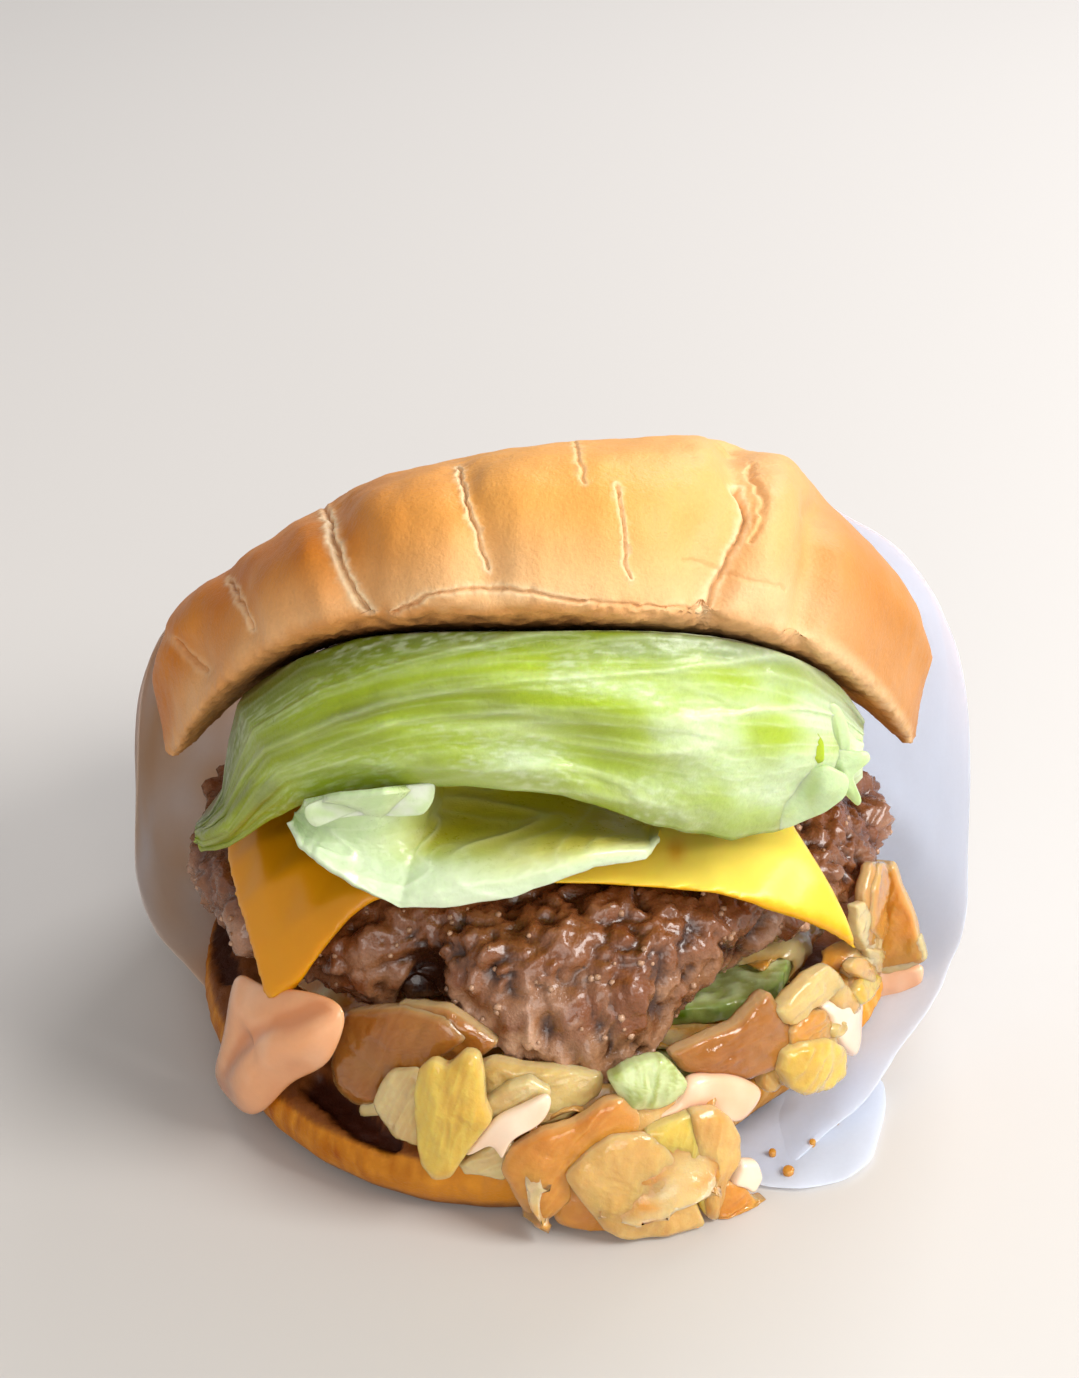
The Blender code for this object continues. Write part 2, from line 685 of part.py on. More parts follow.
def paper_rule(unit):
    """The pocket: rings round the Y axis, from the slanting mouth to the closed back."""
    polar = math.acos(max(-1.0, min(1.0, unit.z)))
    share = min(1.0, polar * PAPER_RINGS / (PAPER_MOUTH_RING * math.pi))
    turn = math.atan2(unit.x, -unit.y)
    turn_deg = math.degrees(turn) % 360.0
    mouth = through(PAPER_MOUTH, turn_deg)
    y = mix(PAPER_BACK_Y, mouth, 1.0 - math.cos(share * math.pi / 2.0))
    depth = min(1.0, max(0.0, (PAPER_BACK_Y - y) / (PAPER_BACK_Y - 8.0)))
    closing = max(0.0, 1.0 - (1.0 - depth) ** PAPER_PLAN_POWER) ** (1.0 / PAPER_PLAN_POWER)
    back_wall = max(0.0, 1.0 - (1.0 - depth) ** PAPER_BACK_POWER) ** (1.0 / PAPER_BACK_POWER)
    half_width = PAPER_HALF_WIDTH * closing
    folds = PAPER_FOLD * math.sin(PAPER_FOLDS * turn + 0.8) * ease(0.0, 30.0, y) * closing
    exponent = 2.0 / PAPER_SQUARENESS
    across = power(math.sin(turn), exponent)
    x = PAPER_CENTRE_X + (half_width - folds) * across
    waist = PAPER_WAIST_Z
    if math.cos(turn) > 0.0:
        z = waist - (waist + 2.0) * back_wall * power(math.cos(turn), exponent)
    else:
        corner = PAPER_CORNER_LEFT if across < 0.0 else PAPER_CORNER_RIGHT
        rise = (1.0 - abs(across) ** corner) ** (1.0 / corner)
        z = waist + (paper_roof(x, y) - waist) * back_wall * rise
    x -= PAPER_LEAN * across * (z - PAPER_LEAN_Z) / PAPER_LEAN_Z
    return x, y, max(z, PAPER_THICK / 2.0)


def make_sleeve(collection, material):
    bm = bmesh.new()
    bmesh.ops.create_uvsphere(bm, u_segments=44, v_segments=PAPER_RINGS, radius=1.0)
    mouth_z = math.cos((PAPER_MOUTH_RING + 0.5) * math.pi / PAPER_RINGS)
    mouth_cap = [vert for vert in bm.verts if vert.co.z < mouth_z]
    bmesh.ops.delete(bm, geom=mouth_cap, context="VERTS")
    for vert in bm.verts:
        vert.co = Vector(paper_rule(vert.co.copy()))
    bmesh.ops.triangulate(bm, faces=bm.faces)
    made = object_from(bm, "sleeve", collection, material)
    thicken(made, PAPER_THICK)
    baked(made)
    return made


def build():
    for old in list(bpy.data.objects):
        bpy.data.objects.remove(old)
    burger = collection_named("cheeseburger")
    cutters = collection_named("cutters")
    bun = material_named("bun", (0.72, 0.42, 0.15), 0.5)
    beef = material_named("patty", (0.20, 0.09, 0.05), 0.45)
    cheddar = material_named("cheese", (0.90, 0.55, 0.04), 0.35)
    green = material_named("lettuce", (0.30, 0.48, 0.05), 0.4)
    pale = material_named("lettuce_pale", (0.62, 0.75, 0.38), 0.4)
    amber = material_named("onion", (0.78, 0.45, 0.14), 0.25)
    pickled = material_named("pickle", (0.30, 0.34, 0.08), 0.35)
    pink = material_named("sauce", (0.72, 0.35, 0.18), 0.3)
    paper = material_named("paper", (0.80, 0.84, 0.92), 0.5)

    heel = make_heel(burger, bun)
    crown = make_crown(burger, bun)
    patty = make_patty(burger, beef)
    cheese = make_cheese(burger, cheddar)
    upper, lower = make_leaves(burger, green, pale)
    onions = make_onions(burger, amber)
    pickles = [make_pickle(place, burger, pickled) for place in PICKLES]
    sauce = make_sauce(burger, pink)
    sleeve = make_sleeve(burger, paper)
    bpy.context.view_layer.update()

    clear_of(patty, cheese, cutters)
    for pickle in pickles:
        clear_of(pickle, patty, cutters)
        clear_of(pickle, heel, cutters)
    clear_of(sauce, heel, cutters)
    clear_of(sauce, patty, cutters)
    clear_of(sauce, cheese, cutters)
    for neighbour in (heel, patty, cheese, sauce, *pickles):
        clear_of(onions, neighbour, cutters)
    for inner in (crown, heel, onions):
        clear_of(inner, sleeve, cutters)

    middle = bpy.data.objects.new("burger_middle", None)
    burger.objects.link(middle)
    middle.location = (SHIFT_X * MM, SHIFT_Y * MM, 0.0)
    for made in burger.objects:
        if made is not middle:
            made.parent = middle


build()
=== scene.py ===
"""Looks of a cheeseburger in a paper sleeve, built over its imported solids.

Sizes are in millimetres about the burger's own middle unless a name says otherwise.
"""
import itertools
import math

import bmesh
import bpy
import numpy as np
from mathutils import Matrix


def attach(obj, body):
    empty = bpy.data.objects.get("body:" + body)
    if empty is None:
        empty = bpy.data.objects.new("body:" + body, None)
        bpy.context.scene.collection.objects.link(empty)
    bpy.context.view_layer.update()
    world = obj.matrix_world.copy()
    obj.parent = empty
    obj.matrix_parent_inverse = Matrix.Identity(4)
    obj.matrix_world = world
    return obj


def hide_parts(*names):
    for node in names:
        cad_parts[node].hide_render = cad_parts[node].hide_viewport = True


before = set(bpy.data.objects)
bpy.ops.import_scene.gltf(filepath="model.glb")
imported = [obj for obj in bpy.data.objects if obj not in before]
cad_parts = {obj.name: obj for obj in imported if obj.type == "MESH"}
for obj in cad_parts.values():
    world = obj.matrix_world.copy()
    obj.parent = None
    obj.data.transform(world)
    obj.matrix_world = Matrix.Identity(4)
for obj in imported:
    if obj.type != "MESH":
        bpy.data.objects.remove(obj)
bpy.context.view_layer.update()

MM = 0.001


# Camera
# The burger is seen from straight in front of its open mouth, 30 degrees up and 350 mm away.
# Places on the food are named by the picture point where they show, and set down on the food.
BURGER_MIDDLE = np.array([-0.02, -1.24, 0.0])
AIM = np.array([0.0, 0.0, 45.0])
AIM_PX = (547.0, 728.0)
IMAGE_PX = (1079, 1378)
LENS_PX = 2520.0
EYE_DEG = 30.0
EYE_AWAY = 350.0
SENSOR = 36.0

LOOK = np.array([0.0, math.cos(math.radians(EYE_DEG)), -math.sin(math.radians(EYE_DEG))])
LIFT = np.array([0.0, math.sin(math.radians(EYE_DEG)), math.cos(math.radians(EYE_DEG))])
EYE = AIM - EYE_AWAY * LOOK

camera = bpy.data.objects.new("camera", bpy.data.cameras.new("camera"))
bpy.context.scene.collection.objects.link(camera)
bpy.context.scene.camera = camera
camera.location = (EYE + BURGER_MIDDLE) * MM
camera.rotation_euler = (math.radians(90.0 - EYE_DEG), 0.0, 0.0)
camera.data.sensor_fit = "VERTICAL"
camera.data.sensor_height = SENSOR
camera.data.lens = SENSOR * LENS_PX / IMAGE_PX[1]
camera.data.shift_x = (IMAGE_PX[0] / 2.0 - AIM_PX[0]) / IMAGE_PX[1]
camera.data.shift_y = (AIM_PX[1] - IMAGE_PX[1] / 2.0) / IMAGE_PX[1]
camera.data.clip_start = 0.01


def seen_at(points):
    """Picture place of each point."""
    away = points - EYE
    depth = away @ LOOK
    return AIM_PX[0] + LENS_PX * away[:, 0] / depth, AIM_PX[1] - LENS_PX * (away @ LIFT) / depth


def sight(px, py):
    """Sight line of a picture place, one millimetre deep."""
    right = (np.asarray(px, float) - AIM_PX[0]) / LENS_PX
    up = (AIM_PX[1] - np.asarray(py, float)) / LENS_PX
    return np.stack([right, up * LIFT[1] + LOOK[1], up * LIFT[2] + LOOK[2]], -1)


def on_wall(px, py, wall_y):
    """Where a sight line meets the upright plane at wall_y."""
    line = sight(px, py)
    return EYE + line * ((wall_y - EYE[1]) / line[:, 1])[:, None]


def on_drum(px, py, radius):
    """Where a sight line first meets an upright drum about the burger's middle."""
    line = sight(px, py)
    a = line[:, 0] ** 2 + line[:, 1] ** 2
    b = 2.0 * EYE[1] * line[:, 1]
    c = EYE[1] ** 2 - np.asarray(radius, float) ** 2
    root = np.sqrt(np.maximum(b * b - 4.0 * a * c, 0.0))
    return EYE + line * ((-b - root) / (2.0 * a))[:, None]


def on_floor(px, py):
    """Where a sight line meets the surface that the burger stands on."""
    line = sight(px, py)
    return EYE - line * (EYE[2] / line[:, 2])[:, None]


# Floor and light
# A pale matt floor under soft daylight that comes from the upper right, with a weak room around it.
FLOOR_HALF = 3.0
FLOOR_TONE = (0.57, 0.54, 0.51, 1.0)
ROOM_TONE = (0.97, 0.97, 0.98, 1.0)
ROOM_STRENGTH = 0.52
# Name, place in metres, turn in degrees, size in metres, watts and colour.
LAMPS = (
    ("window", (0.66, -0.30, 0.62), (50.0, 0.0, 66.0), 0.42, 8.4, (1.0, 0.985, 0.96)),
    ("window_back", (0.36, 0.62, 0.62), (-45.0, 0.0, -30.0), 0.50, 4.8, (0.96, 0.97, 1.0)),
    ("front", (0.06, -0.85, 0.40), (67.0, 0.0, 4.0), 0.50, 2.8, (1.0, 0.97, 0.93)),
)

view = bpy.context.scene.view_settings
view.view_transform = "Standard"
view.look = "None"
view.exposure = 0.0

room = bpy.data.worlds.new("room")
bpy.context.scene.world = room
room.use_nodes = True
room.node_tree.nodes["Background"].inputs["Color"].default_value = ROOM_TONE
room.node_tree.nodes["Background"].inputs["Strength"].default_value = ROOM_STRENGTH

for lamp_name, place, turn, size, watts, lamp_tone in LAMPS:
    lamp = bpy.data.objects.new(lamp_name, bpy.data.lights.new(lamp_name, "AREA"))
    lamp.location = place
    lamp.rotation_euler = [math.radians(angle) for angle in turn]
    lamp.data.size = size
    lamp.data.energy = watts
    lamp.data.color = lamp_tone
    bpy.context.scene.collection.objects.link(lamp)

floor_mesh = bpy.data.meshes.new("floor")
corners = [
    (-FLOOR_HALF, -FLOOR_HALF, 0), (FLOOR_HALF, -FLOOR_HALF, 0), (FLOOR_HALF, FLOOR_HALF, 0),
    (-FLOOR_HALF, FLOOR_HALF, 0),
]
floor_mesh.from_pydata(corners, [], [(0, 1, 2, 3)])
floor = bpy.data.objects.new("floor", floor_mesh)
bpy.context.scene.collection.objects.link(floor)
floor_material = bpy.data.materials.new("floor")
floor_material.use_nodes = True
floor_material.node_tree.nodes["Principled BSDF"].inputs["Base Color"].default_value = FLOOR_TONE
floor_material.node_tree.nodes["Principled BSDF"].inputs["Roughness"].default_value = 0.6
floor_mesh.materials.append(floor_material)


# Paper sleeve
# A pocket of thin white waxed paper, glued along its back and sides, with its mouth open to the
# front. It is creased where it was folded, greasy and painted with shade on the left, and clear enough to
# glow.
# Creases: how far apart, how deep and the seed of each set. Seam at the back: middle, half width
# and height. How far the paper stands off the food.
PAPER_CREASES = ((24.0, 1.5, 3), (11.0, 0.8, 8), (5.0, 0.3, 9))
PAPER_SEAM = (6.0, 7.5, 0.45)
PAPER_LOOSE = 0.3
PAPER_WHITE = (242, 246, 254)
PAPER_GREASE = (224, 194, 160)
PAPER_CLEAR = 0.65
# The front flap of the paper's lower layer, which lies flat in front of the mouth: picture points.
FLAP = (
    (700, 1150), (765, 1100), (860, 1070), (884, 1085), (886, 1113), (872, 1164), (848, 1182),
    (802, 1193), (765, 1190), (735, 1180),
)
FLAP_THICK = 0.3
FLAP_UP = 0.35
FLAP_CURL = 0.5


def rise(low, high, value):
    """A smooth step from 0 at low to 1 at high."""
    share = np.clip((value - low) / (high - low), 0.0, 1.0)
    return share * share * (3.0 - 2.0 * share)


def hump(value, centre, width):
    """A smooth bump that is 1 at its centre."""
    return np.exp(-(((value - centre) / width) ** 2))


def dice(cells, seed):
    """A repeatable number from 0 to 1 for each whole-number place."""
    n = cells[..., 0] * 73856093 ^ cells[..., 1] * 19349663 ^ cells[..., 2] * 83492791
    n = n ^ (seed * 40503 + 977)
    n = ((n ^ (n >> 13)) * 1274126177) & 0xFFFFFFFF
    n = ((n ^ (n >> 16)) * 2246822519) & 0xFFFFFFFF
    return ((n ^ (n >> 15)) & 0xFFFFFF) / float(0x1000000)


def hills(points, size, seed=1, octaves=1):
    """Smooth random hills between about -1 and 1, each about the given size."""
    total = np.zeros(len(points))
    for octave in range(octaves):
        place = points / size * 2.0 ** octave + 11.7 * octave
        low = np.floor(place).astype(np.int64)
        part = place - low
        fade = part ** 3 * (part * (part * 6.0 - 15.0) + 10.0)
        for corner in itertools.product((0, 1), repeat=3):
            step = np.array(corner)
            thrown = [dice(low + step, seed + 7 * k + 31 * octave) for k in (1, 2, 3)]
            slope = np.stack(thrown, -1) * 2.0 - 1.0
            weight = np.prod(np.where(step == 1, fade, 1.0 - fade), -1)
            total += 1.5 * 0.5 ** octave * weight * np.sum(slope * (part - step), -1)
    return total


def tone(colour):
    """A screen colour from 0 to 255 as the linear one that materials take."""
    share = np.asarray(colour, float) / 255.0
    return np.where(share <= 0.04045, share / 12.92, ((share + 0.055) / 1.055) ** 2.4)


def blended(first, second, share):
    """Colours between two, point by point; either may be one colour or one for each point."""
    share = np.asarray(share)[:, None]
    return np.asarray(first) * (1.0 - share) + np.asarray(second) * share


def points_of(mesh):
    """A mesh's points in millimetres about the burger's middle."""
    flat = np.empty(len(mesh.vertices) * 3, np.float32)
    mesh.vertices.foreach_get("co", flat)
    return flat.reshape(-1, 3).astype(float) / MM - BURGER_MIDDLE


def normals_of(mesh):
    flat = np.empty(len(mesh.vertices) * 3, np.float32)
    mesh.vertices.foreach_get("normal", flat)
    return flat.reshape(-1, 3).astype(float)


def move_points(mesh, points):
    mesh.vertices.foreach_set("co", ((points + BURGER_MIDDLE) * MM).astype(np.float32).ravel())
    mesh.update()


def paint(mesh, colours, name="paint"):
    """Keeps one linear colour for each point on the mesh."""
    full = np.ones((len(mesh.vertices), 4), np.float32)
    full[:, :3] = np.clip(colours, 0.0, 1.0)
    layer = mesh.attributes.new(name, "FLOAT_COLOR", "POINT")
    layer.data.foreach_set("color", full.ravel())


def mark(mesh, name, values):
    """Keeps one number for each point on the mesh."""
    layer = mesh.attributes.new(name, "FLOAT", "POINT")
    layer.data.foreach_set("value", np.asarray(values, np.float32))


def object_for(name, mesh):
    made = bpy.data.objects.new(name, mesh)
    bpy.context.scene.collection.objects.link(made)
    return made


def settled(made):
    """Turns an object's modifiers into its plain mesh."""
    graph = bpy.context.evaluated_depsgraph_get()
    mesh = bpy.data.meshes.new_from_object(made.evaluated_get(graph))
    made.modifiers.clear()
    made.data = mesh
    mesh.shade_smooth()
    return made


def merged_copy(node, name):
    """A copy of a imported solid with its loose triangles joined."""
    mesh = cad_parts[node].data.copy()
    mesh.materials.clear()
    bm = bmesh.new()
    bm.from_mesh(mesh)
    bmesh.ops.remove_doubles(bm, verts=bm.verts, dist=1e-6)
    bmesh.ops.recalc_face_normals(bm, faces=bm.faces)
    bm.to_mesh(mesh)
    bm.free()
    return object_for(name, mesh)


def add(tree, kind, values=None, **settings):
    """Adds a shader or geometry node; a value may be a number, a colour or another node's output."""
    made = tree.nodes.new(kind)
    for key, value in settings.items():
        setattr(made, key, value)
    for key, value in (values or {}).items():
        if isinstance(value, bpy.types.NodeSocket):
            tree.links.new(value, made.inputs[key])
        else:
            made.inputs[key].default_value = value
    return made


def group_with(name, kind, inputs, outputs):
    """An empty node group with named inputs (name, type, default) and outputs (name, type)."""
    tree = bpy.data.node_groups.new(name, kind)
    for socket_name, socket_type, default in inputs:
        made = tree.interface.new_socket(name=socket_name, in_out="INPUT", socket_type=socket_type)
        if default is not None:
            made.default_value = default
    for socket_name, socket_type in outputs:
        tree.interface.new_socket(name=socket_name, in_out="OUTPUT", socket_type=socket_type)
    return tree, tree.nodes.new("NodeGroupInput"), tree.nodes.new("NodeGroupOutput")


# Uneven colour, dullness and relief, as all food and paper has, out of wide blotches and fine
# flecks. Their numbers are how many lie along a metre.
mottle, mottle_in, mottle_out = group_with(
    "mottle",
    "ShaderNodeTree",
    (
        ("Tint", "NodeSocketColor", (0.8, 0.8, 0.8, 1.0)),
        ("Blotches", "NodeSocketFloat", 200.0),
        ("Flecks", "NodeSocketFloat", 900.0),
        ("Uneven", "NodeSocketFloat", 0.2),
        ("Dullness", "NodeSocketFloat", 0.4),
    ),
    (("Color", "NodeSocketColor"), ("Roughness", "NodeSocketFloat"), ("Height", "NodeSocketFloat")),
)
spot = add(mottle, "ShaderNodeTexCoord").outputs["Object"]
blotch = add(
    mottle, "ShaderNodeTexNoise",
    {"Vector": spot, "Scale": mottle_in.outputs["Blotches"], "Detail": 4.0, "Roughness": 0.6},
)
fleck = add(
    mottle, "ShaderNodeTexNoise",
    {"Vector": spot, "Scale": mottle_in.outputs["Flecks"], "Detail": 3.0, "Roughness": 0.6},
)
both = add(mottle, "ShaderNodeMath", {0: blotch.outputs["Fac"], 1: fleck.outputs["Fac"]}, operation="ADD")
even = add(mottle, "ShaderNodeMath", {0: both.outputs[0], 1: -1.0}, operation="ADD")
swing = add(
    mottle, "ShaderNodeMath", {0: even.outputs[0], 1: mottle_in.outputs["Uneven"]},
    operation="MULTIPLY",
)
bright = add(mottle, "ShaderNodeMath", {0: swing.outputs[0], 1: 1.0}, operation="ADD")
tinted = add(
    mottle, "ShaderNodeHueSaturation",
    {"Color": mottle_in.outputs["Tint"], "Value": bright.outputs[0]},
)
dull = add(
    mottle, "ShaderNodeMath", {0: swing.outputs[0], 1: mottle_in.outputs["Dullness"]},
    operation="ADD", use_clamp=True,
)
mottle.links.new(tinted.outputs["Color"], mottle_out.inputs["Color"])
mottle.links.new(dull.outputs[0], mottle_out.inputs["Roughness"])
mottle.links.new(both.outputs[0], mottle_out.inputs["Height"])


def food_material(
    name, blotches, flecks, uneven, dullness, relief, soft=0.0, soft_reach=(1.0, 0.4, 0.15),
    wet=0.0, clear=0.0,
):
    """A material over a mesh's own paint, with mottled colour, dullness and relief; relief is in mm."""
    material = bpy.data.materials.new(name)
    material.use_nodes = True
    tree = material.node_tree
    shader = tree.nodes["Principled BSDF"]
    own = add(tree, "ShaderNodeAttribute", attribute_name="paint")
    uneven_skin = add(tree, "ShaderNodeGroup", node_tree=mottle)
    tree.links.new(own.outputs["Color"], uneven_skin.inputs["Tint"])
    uneven_skin.inputs["Blotches"].default_value = blotches
    uneven_skin.inputs["Flecks"].default_value = flecks
    uneven_skin.inputs["Uneven"].default_value = uneven
    uneven_skin.inputs["Dullness"].default_value = dullness
    bump = add(
        tree, "ShaderNodeBump",
        {"Strength": 0.6, "Distance": relief * MM, "Height": uneven_skin.outputs["Height"]},
    )
    tree.links.new(uneven_skin.outputs["Color"], shader.inputs["Base Color"])
    tree.links.new(uneven_skin.outputs["Roughness"], shader.inputs["Roughness"])
    tree.links.new(bump.outputs["Normal"], shader.inputs["Normal"])
    shader.inputs["Subsurface Weight"].default_value = soft
    shader.inputs["Subsurface Radius"].default_value = soft_reach
    shader.inputs["Subsurface Scale"].default_value = 0.002
    shader.inputs["Coat Weight"].default_value = wet
    shader.inputs["Coat Roughness"].default_value = 0.12
    shader.inputs["Transmission Weight"].default_value = clear
    shader.inputs["IOR"].default_value = 1.38
    return material


def finish_piece(made, material, slot, *nodes):
    """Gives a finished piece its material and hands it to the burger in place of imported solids."""
    made.data.materials.clear()
    made.data.materials.append(material)
    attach(made, "root")
    if nodes:
        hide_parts(*nodes)


def from_line(px, py, line):
    """Distance of each picture place from a line of picture points."""
    nearest = np.full(len(px), 1e9)
    for (ax, ay), (bx, by) in zip(line, line[1:]):
        run_x, run_y = bx - ax, by - ay
        share = np.clip(((px - ax) * run_x + (py - ay) * run_y) / (run_x ** 2 + run_y ** 2), 0.0, 1.0)
        nearest = np.minimum(nearest, np.hypot(px - ax - share * run_x, py - ay - share * run_y))
    return nearest


def rounded_outline(outline, count, rounds=1):
    """An even closed outline through given corners, with the corners a little rounded."""
    corners = np.asarray(outline, float)
    ends = np.roll(corners, -1, axis=0)
    lengths = np.linalg.norm(ends - corners, axis=1)
    walked = np.concatenate([[0.0], np.cumsum(lengths)])
    stops = np.linspace(0.0, walked[-1], count, endpoint=False)
    closed = np.vstack([corners, corners[:1]])
    line = np.stack([np.interp(stops, walked, closed[:, axis]) for axis in (0, 1)], -1)
    for _ in range(rounds):
        line = 0.5 * line + 0.25 * (np.roll(line, 1, axis=0) + np.roll(line, -1, axis=0))
    return line


def slab(outline, place, thick, bulge, around=56, rings=9, reach=14.0, rounds=1, crisp=5.0):
    """A closed flat lump whose middle lies where place says: points, faces, picture places, and
    for each point its share of the way from the middle to the rim and the way it faces."""
    line = rounded_outline(outline, around, rounds)
    centre = line.mean(0)
    flat = np.linspace(0.0, 0.88, rings + 1)[1:]
    rim = (1.0 - flat[-1] ** crisp) ** (1.0 / crisp) * np.array([0.75, 0.45, 0.15])
    half_spread = np.concatenate([flat, (1.0 - rim ** crisp) ** (1.0 / crisp)])
    half_across = np.concatenate([(1.0 - flat ** crisp) ** (1.0 / crisp), rim])
    spread = np.concatenate([half_spread, half_spread[::-1]])
    across = np.concatenate([half_across, -half_across[::-1]])
    seen = [centre[None]] + [centre + share * (line - centre) for share in spread] + [centre[None]]
    side = np.concatenate([[1.0], np.repeat(across, around), [-1.0]])
    share = np.concatenate([[0.0], np.repeat(spread, around), [0.0]])
    seen = np.vstack(seen)
    middle = place(seen[:, 0], seen[:, 1])
    step_x = place(seen[:, 0] + 1.0, seen[:, 1]) - middle
    step_y = place(seen[:, 0], seen[:, 1] + 1.0) - middle
    normal = np.cross(step_y, step_x)
    normal /= np.linalg.norm(normal, axis=1)[:, None]
    normal *= np.where(np.sum(normal * (EYE - middle), axis=1) < 0.0, -1.0, 1.0)[:, None]
    inward = from_line(seen[:, 0], seen[:, 1], [tuple(corner) for corner in line] + [tuple(line[0])])
    out = side * thick / 2.0 + bulge * (1.0 - np.exp(-((inward / reach) ** 2)))
    points = middle + normal * out[:, None]
    faces = []
    for ring in range(len(spread) - 1):
        low = 1 + ring * around
        for k in range(around):
            nxt = (k + 1) % around
            faces.append((low + k, low + nxt, low + around + nxt, low + around + k))
    last = len(points) - 1
    for k in range(around):
        nxt = (k + 1) % around
        faces.append((0, 1 + nxt, 1 + k))
        faces.append((last, last - around + k, last - around + nxt))
    return points, faces, seen, share, normal


def joined(parts):
    """One list of points and faces out of several."""
    points = np.vstack([part[0] for part in parts])
    faces = []
    start = 0
    for part in parts:
        faces += [tuple(start + index for index in face) for face in part[1]]
        start += len(part[0])
    return points, faces


def mesh_from(name, points, faces):
    """A smooth mesh out of points in millimetres, with its faces turned outwards."""
    mesh = bpy.data.meshes.new(name)
    mesh.from_pydata(((points + BURGER_MIDDLE) * MM).tolist(), [], faces)
    bm = bmesh.new()
    bm.from_mesh(mesh)
    bmesh.ops.recalc_face_normals(bm, faces=bm.faces)
    bm.to_mesh(mesh)
    bm.free()
    mesh.shade_smooth()
    return mesh


def add_mesh(made, extra):
    """Joins another mesh to a piece."""
    bm = bmesh.new()
    bm.from_mesh(made.data)
    bm.from_mesh(extra)
    bm.to_mesh(made.data)
    bm.free()
    made.data.shade_smooth()


sleeve = merged_copy("sleeve", "paper_sleeve")
rounding = sleeve.modifiers.new("rounding", "SUBSURF")
rounding.levels = 2
rounding.render_levels = 2
settled(sleeve)
sleeve_points = points_of(sleeve.data)
round_share = np.arctan2(sleeve_points[:, 1], sleeve_points[:, 0])
flat_paper = np.stack([50.0 * round_share, 0.35 * sleeve_points[:, 2], 8.0 * np.cos(round_share)], -1)
outward = sleeve_points * (1.0, 1.0, 0.0)
outward /= np.maximum(np.linalg.norm(outward, axis=1), 1.0)[:, None]
push = np.full(len(sleeve_points), PAPER_LOOSE)
for size, depth, seed in PAPER_CREASES:
    push += depth * np.abs(hills(flat_paper, size, seed=seed))
seam_at, seam_half, seam_high = PAPER_SEAM
near_seam = rise(seam_half + 0.6, seam_half - 0.6, np.abs(sleeve_points[:, 0] - seam_at))
push += seam_high * near_seam * (sleeve_points[:, 1] > 20.0)
sleeve_points += outward * (push * rise(0.5, 10.0, sleeve_points[:, 2]))[:, None]
sleeve_points[:, 2] = np.maximum(sleeve_points[:, 2], 0.02)
move_points(sleeve.data, sleeve_points)
# Darker and warmer towards the left: a grease stain together with painted shade.
stain_patches = 0.6 + 0.35 * hills(sleeve_points, 14.0, seed=5, octaves=2)
stain = rise(-20.0, -50.0, sleeve_points[:, 0]) * stain_patches
paint(sleeve.data, blended(tone(PAPER_WHITE), tone(PAPER_GREASE), np.clip(stain, 0.0, 1.0)))
points, faces, seen, share, normal = slab(FLAP, on_floor, FLAP_THICK, 0.3, around=64, rings=10)
points[:, 2] += FLAP_UP + FLAP_CURL * rise(0.4, 1.0, share) * (0.6 + hills(points, 7.0, seed=24))
points[:, 2] = np.maximum(points[:, 2], 0.02)
flap = mesh_from("paper_flap", points, faces)
paint(flap, np.tile(tone(PAPER_WHITE), (len(points), 1)))
add_mesh(sleeve, flap)
paper = food_material(
    "waxed_paper", blotches=90.0, flecks=1400.0, uneven=0.05, dullness=0.42, relief=0.05,
)
paper_nodes = paper.node_tree
surface = paper_nodes.nodes["Principled BSDF"]
glow = add(
    paper_nodes, "ShaderNodeBsdfTranslucent",
    {"Color": surface.inputs["Base Color"].links[0].from_socket},
)
through_paper = add(
    paper_nodes, "ShaderNodeMixShader",
    {0: PAPER_CLEAR, 1: surface.outputs["BSDF"], 2: glow.outputs["BSDF"]},
)
paper_nodes.links.new(
    through_paper.outputs["Shader"], paper_nodes.nodes["Material Output"].inputs["Surface"],
)
finish_piece(sleeve, paper, "paper", "sleeve")


# Bottom bun
# The heel of a soft bun: a thin golden crust that wrinkles round its side, and a cut face that was
# toasted on the griddle until its rim turned dark brown.
HEEL_VOXEL = 0.7
HEEL_WRINKLE = 0.2
HEEL_GOLD = (220, 148, 44)
HEEL_PALE = (238, 190, 116)
HEEL_BROWN = (174, 98, 2)
TOAST_DARK = (58, 22, 8)
TOAST_BROWN = (120, 66, 26)
# Scorched dents: line in picture points, half width, depth.
HEEL_SCORCHES = (
    (((318.0, 1086.0), (338.0, 1100.0), (362.0, 1122.0), (386.0, 1137.0)), 15.0, 2.0),
    (((224.0, 905.0), (222.0, 940.0), (228.0, 972.0)), 12.0, 0.6),
)


def remeshed(made, voxel, rounds):
    """Cuts a piece into an even fine mesh and softens it."""
    fine = made.modifiers.new("fine", "REMESH")
    fine.mode = "VOXEL"
    fine.voxel_size = voxel * MM
    soft = made.modifiers.new("soft", "SMOOTH")
    soft.iterations = rounds
    return settled(made)


def facing_eye(normals):
    """How far each place faces the camera, from 0 at the outline to 1."""
    return rise(0.02, 0.25, -(normals @ LOOK))


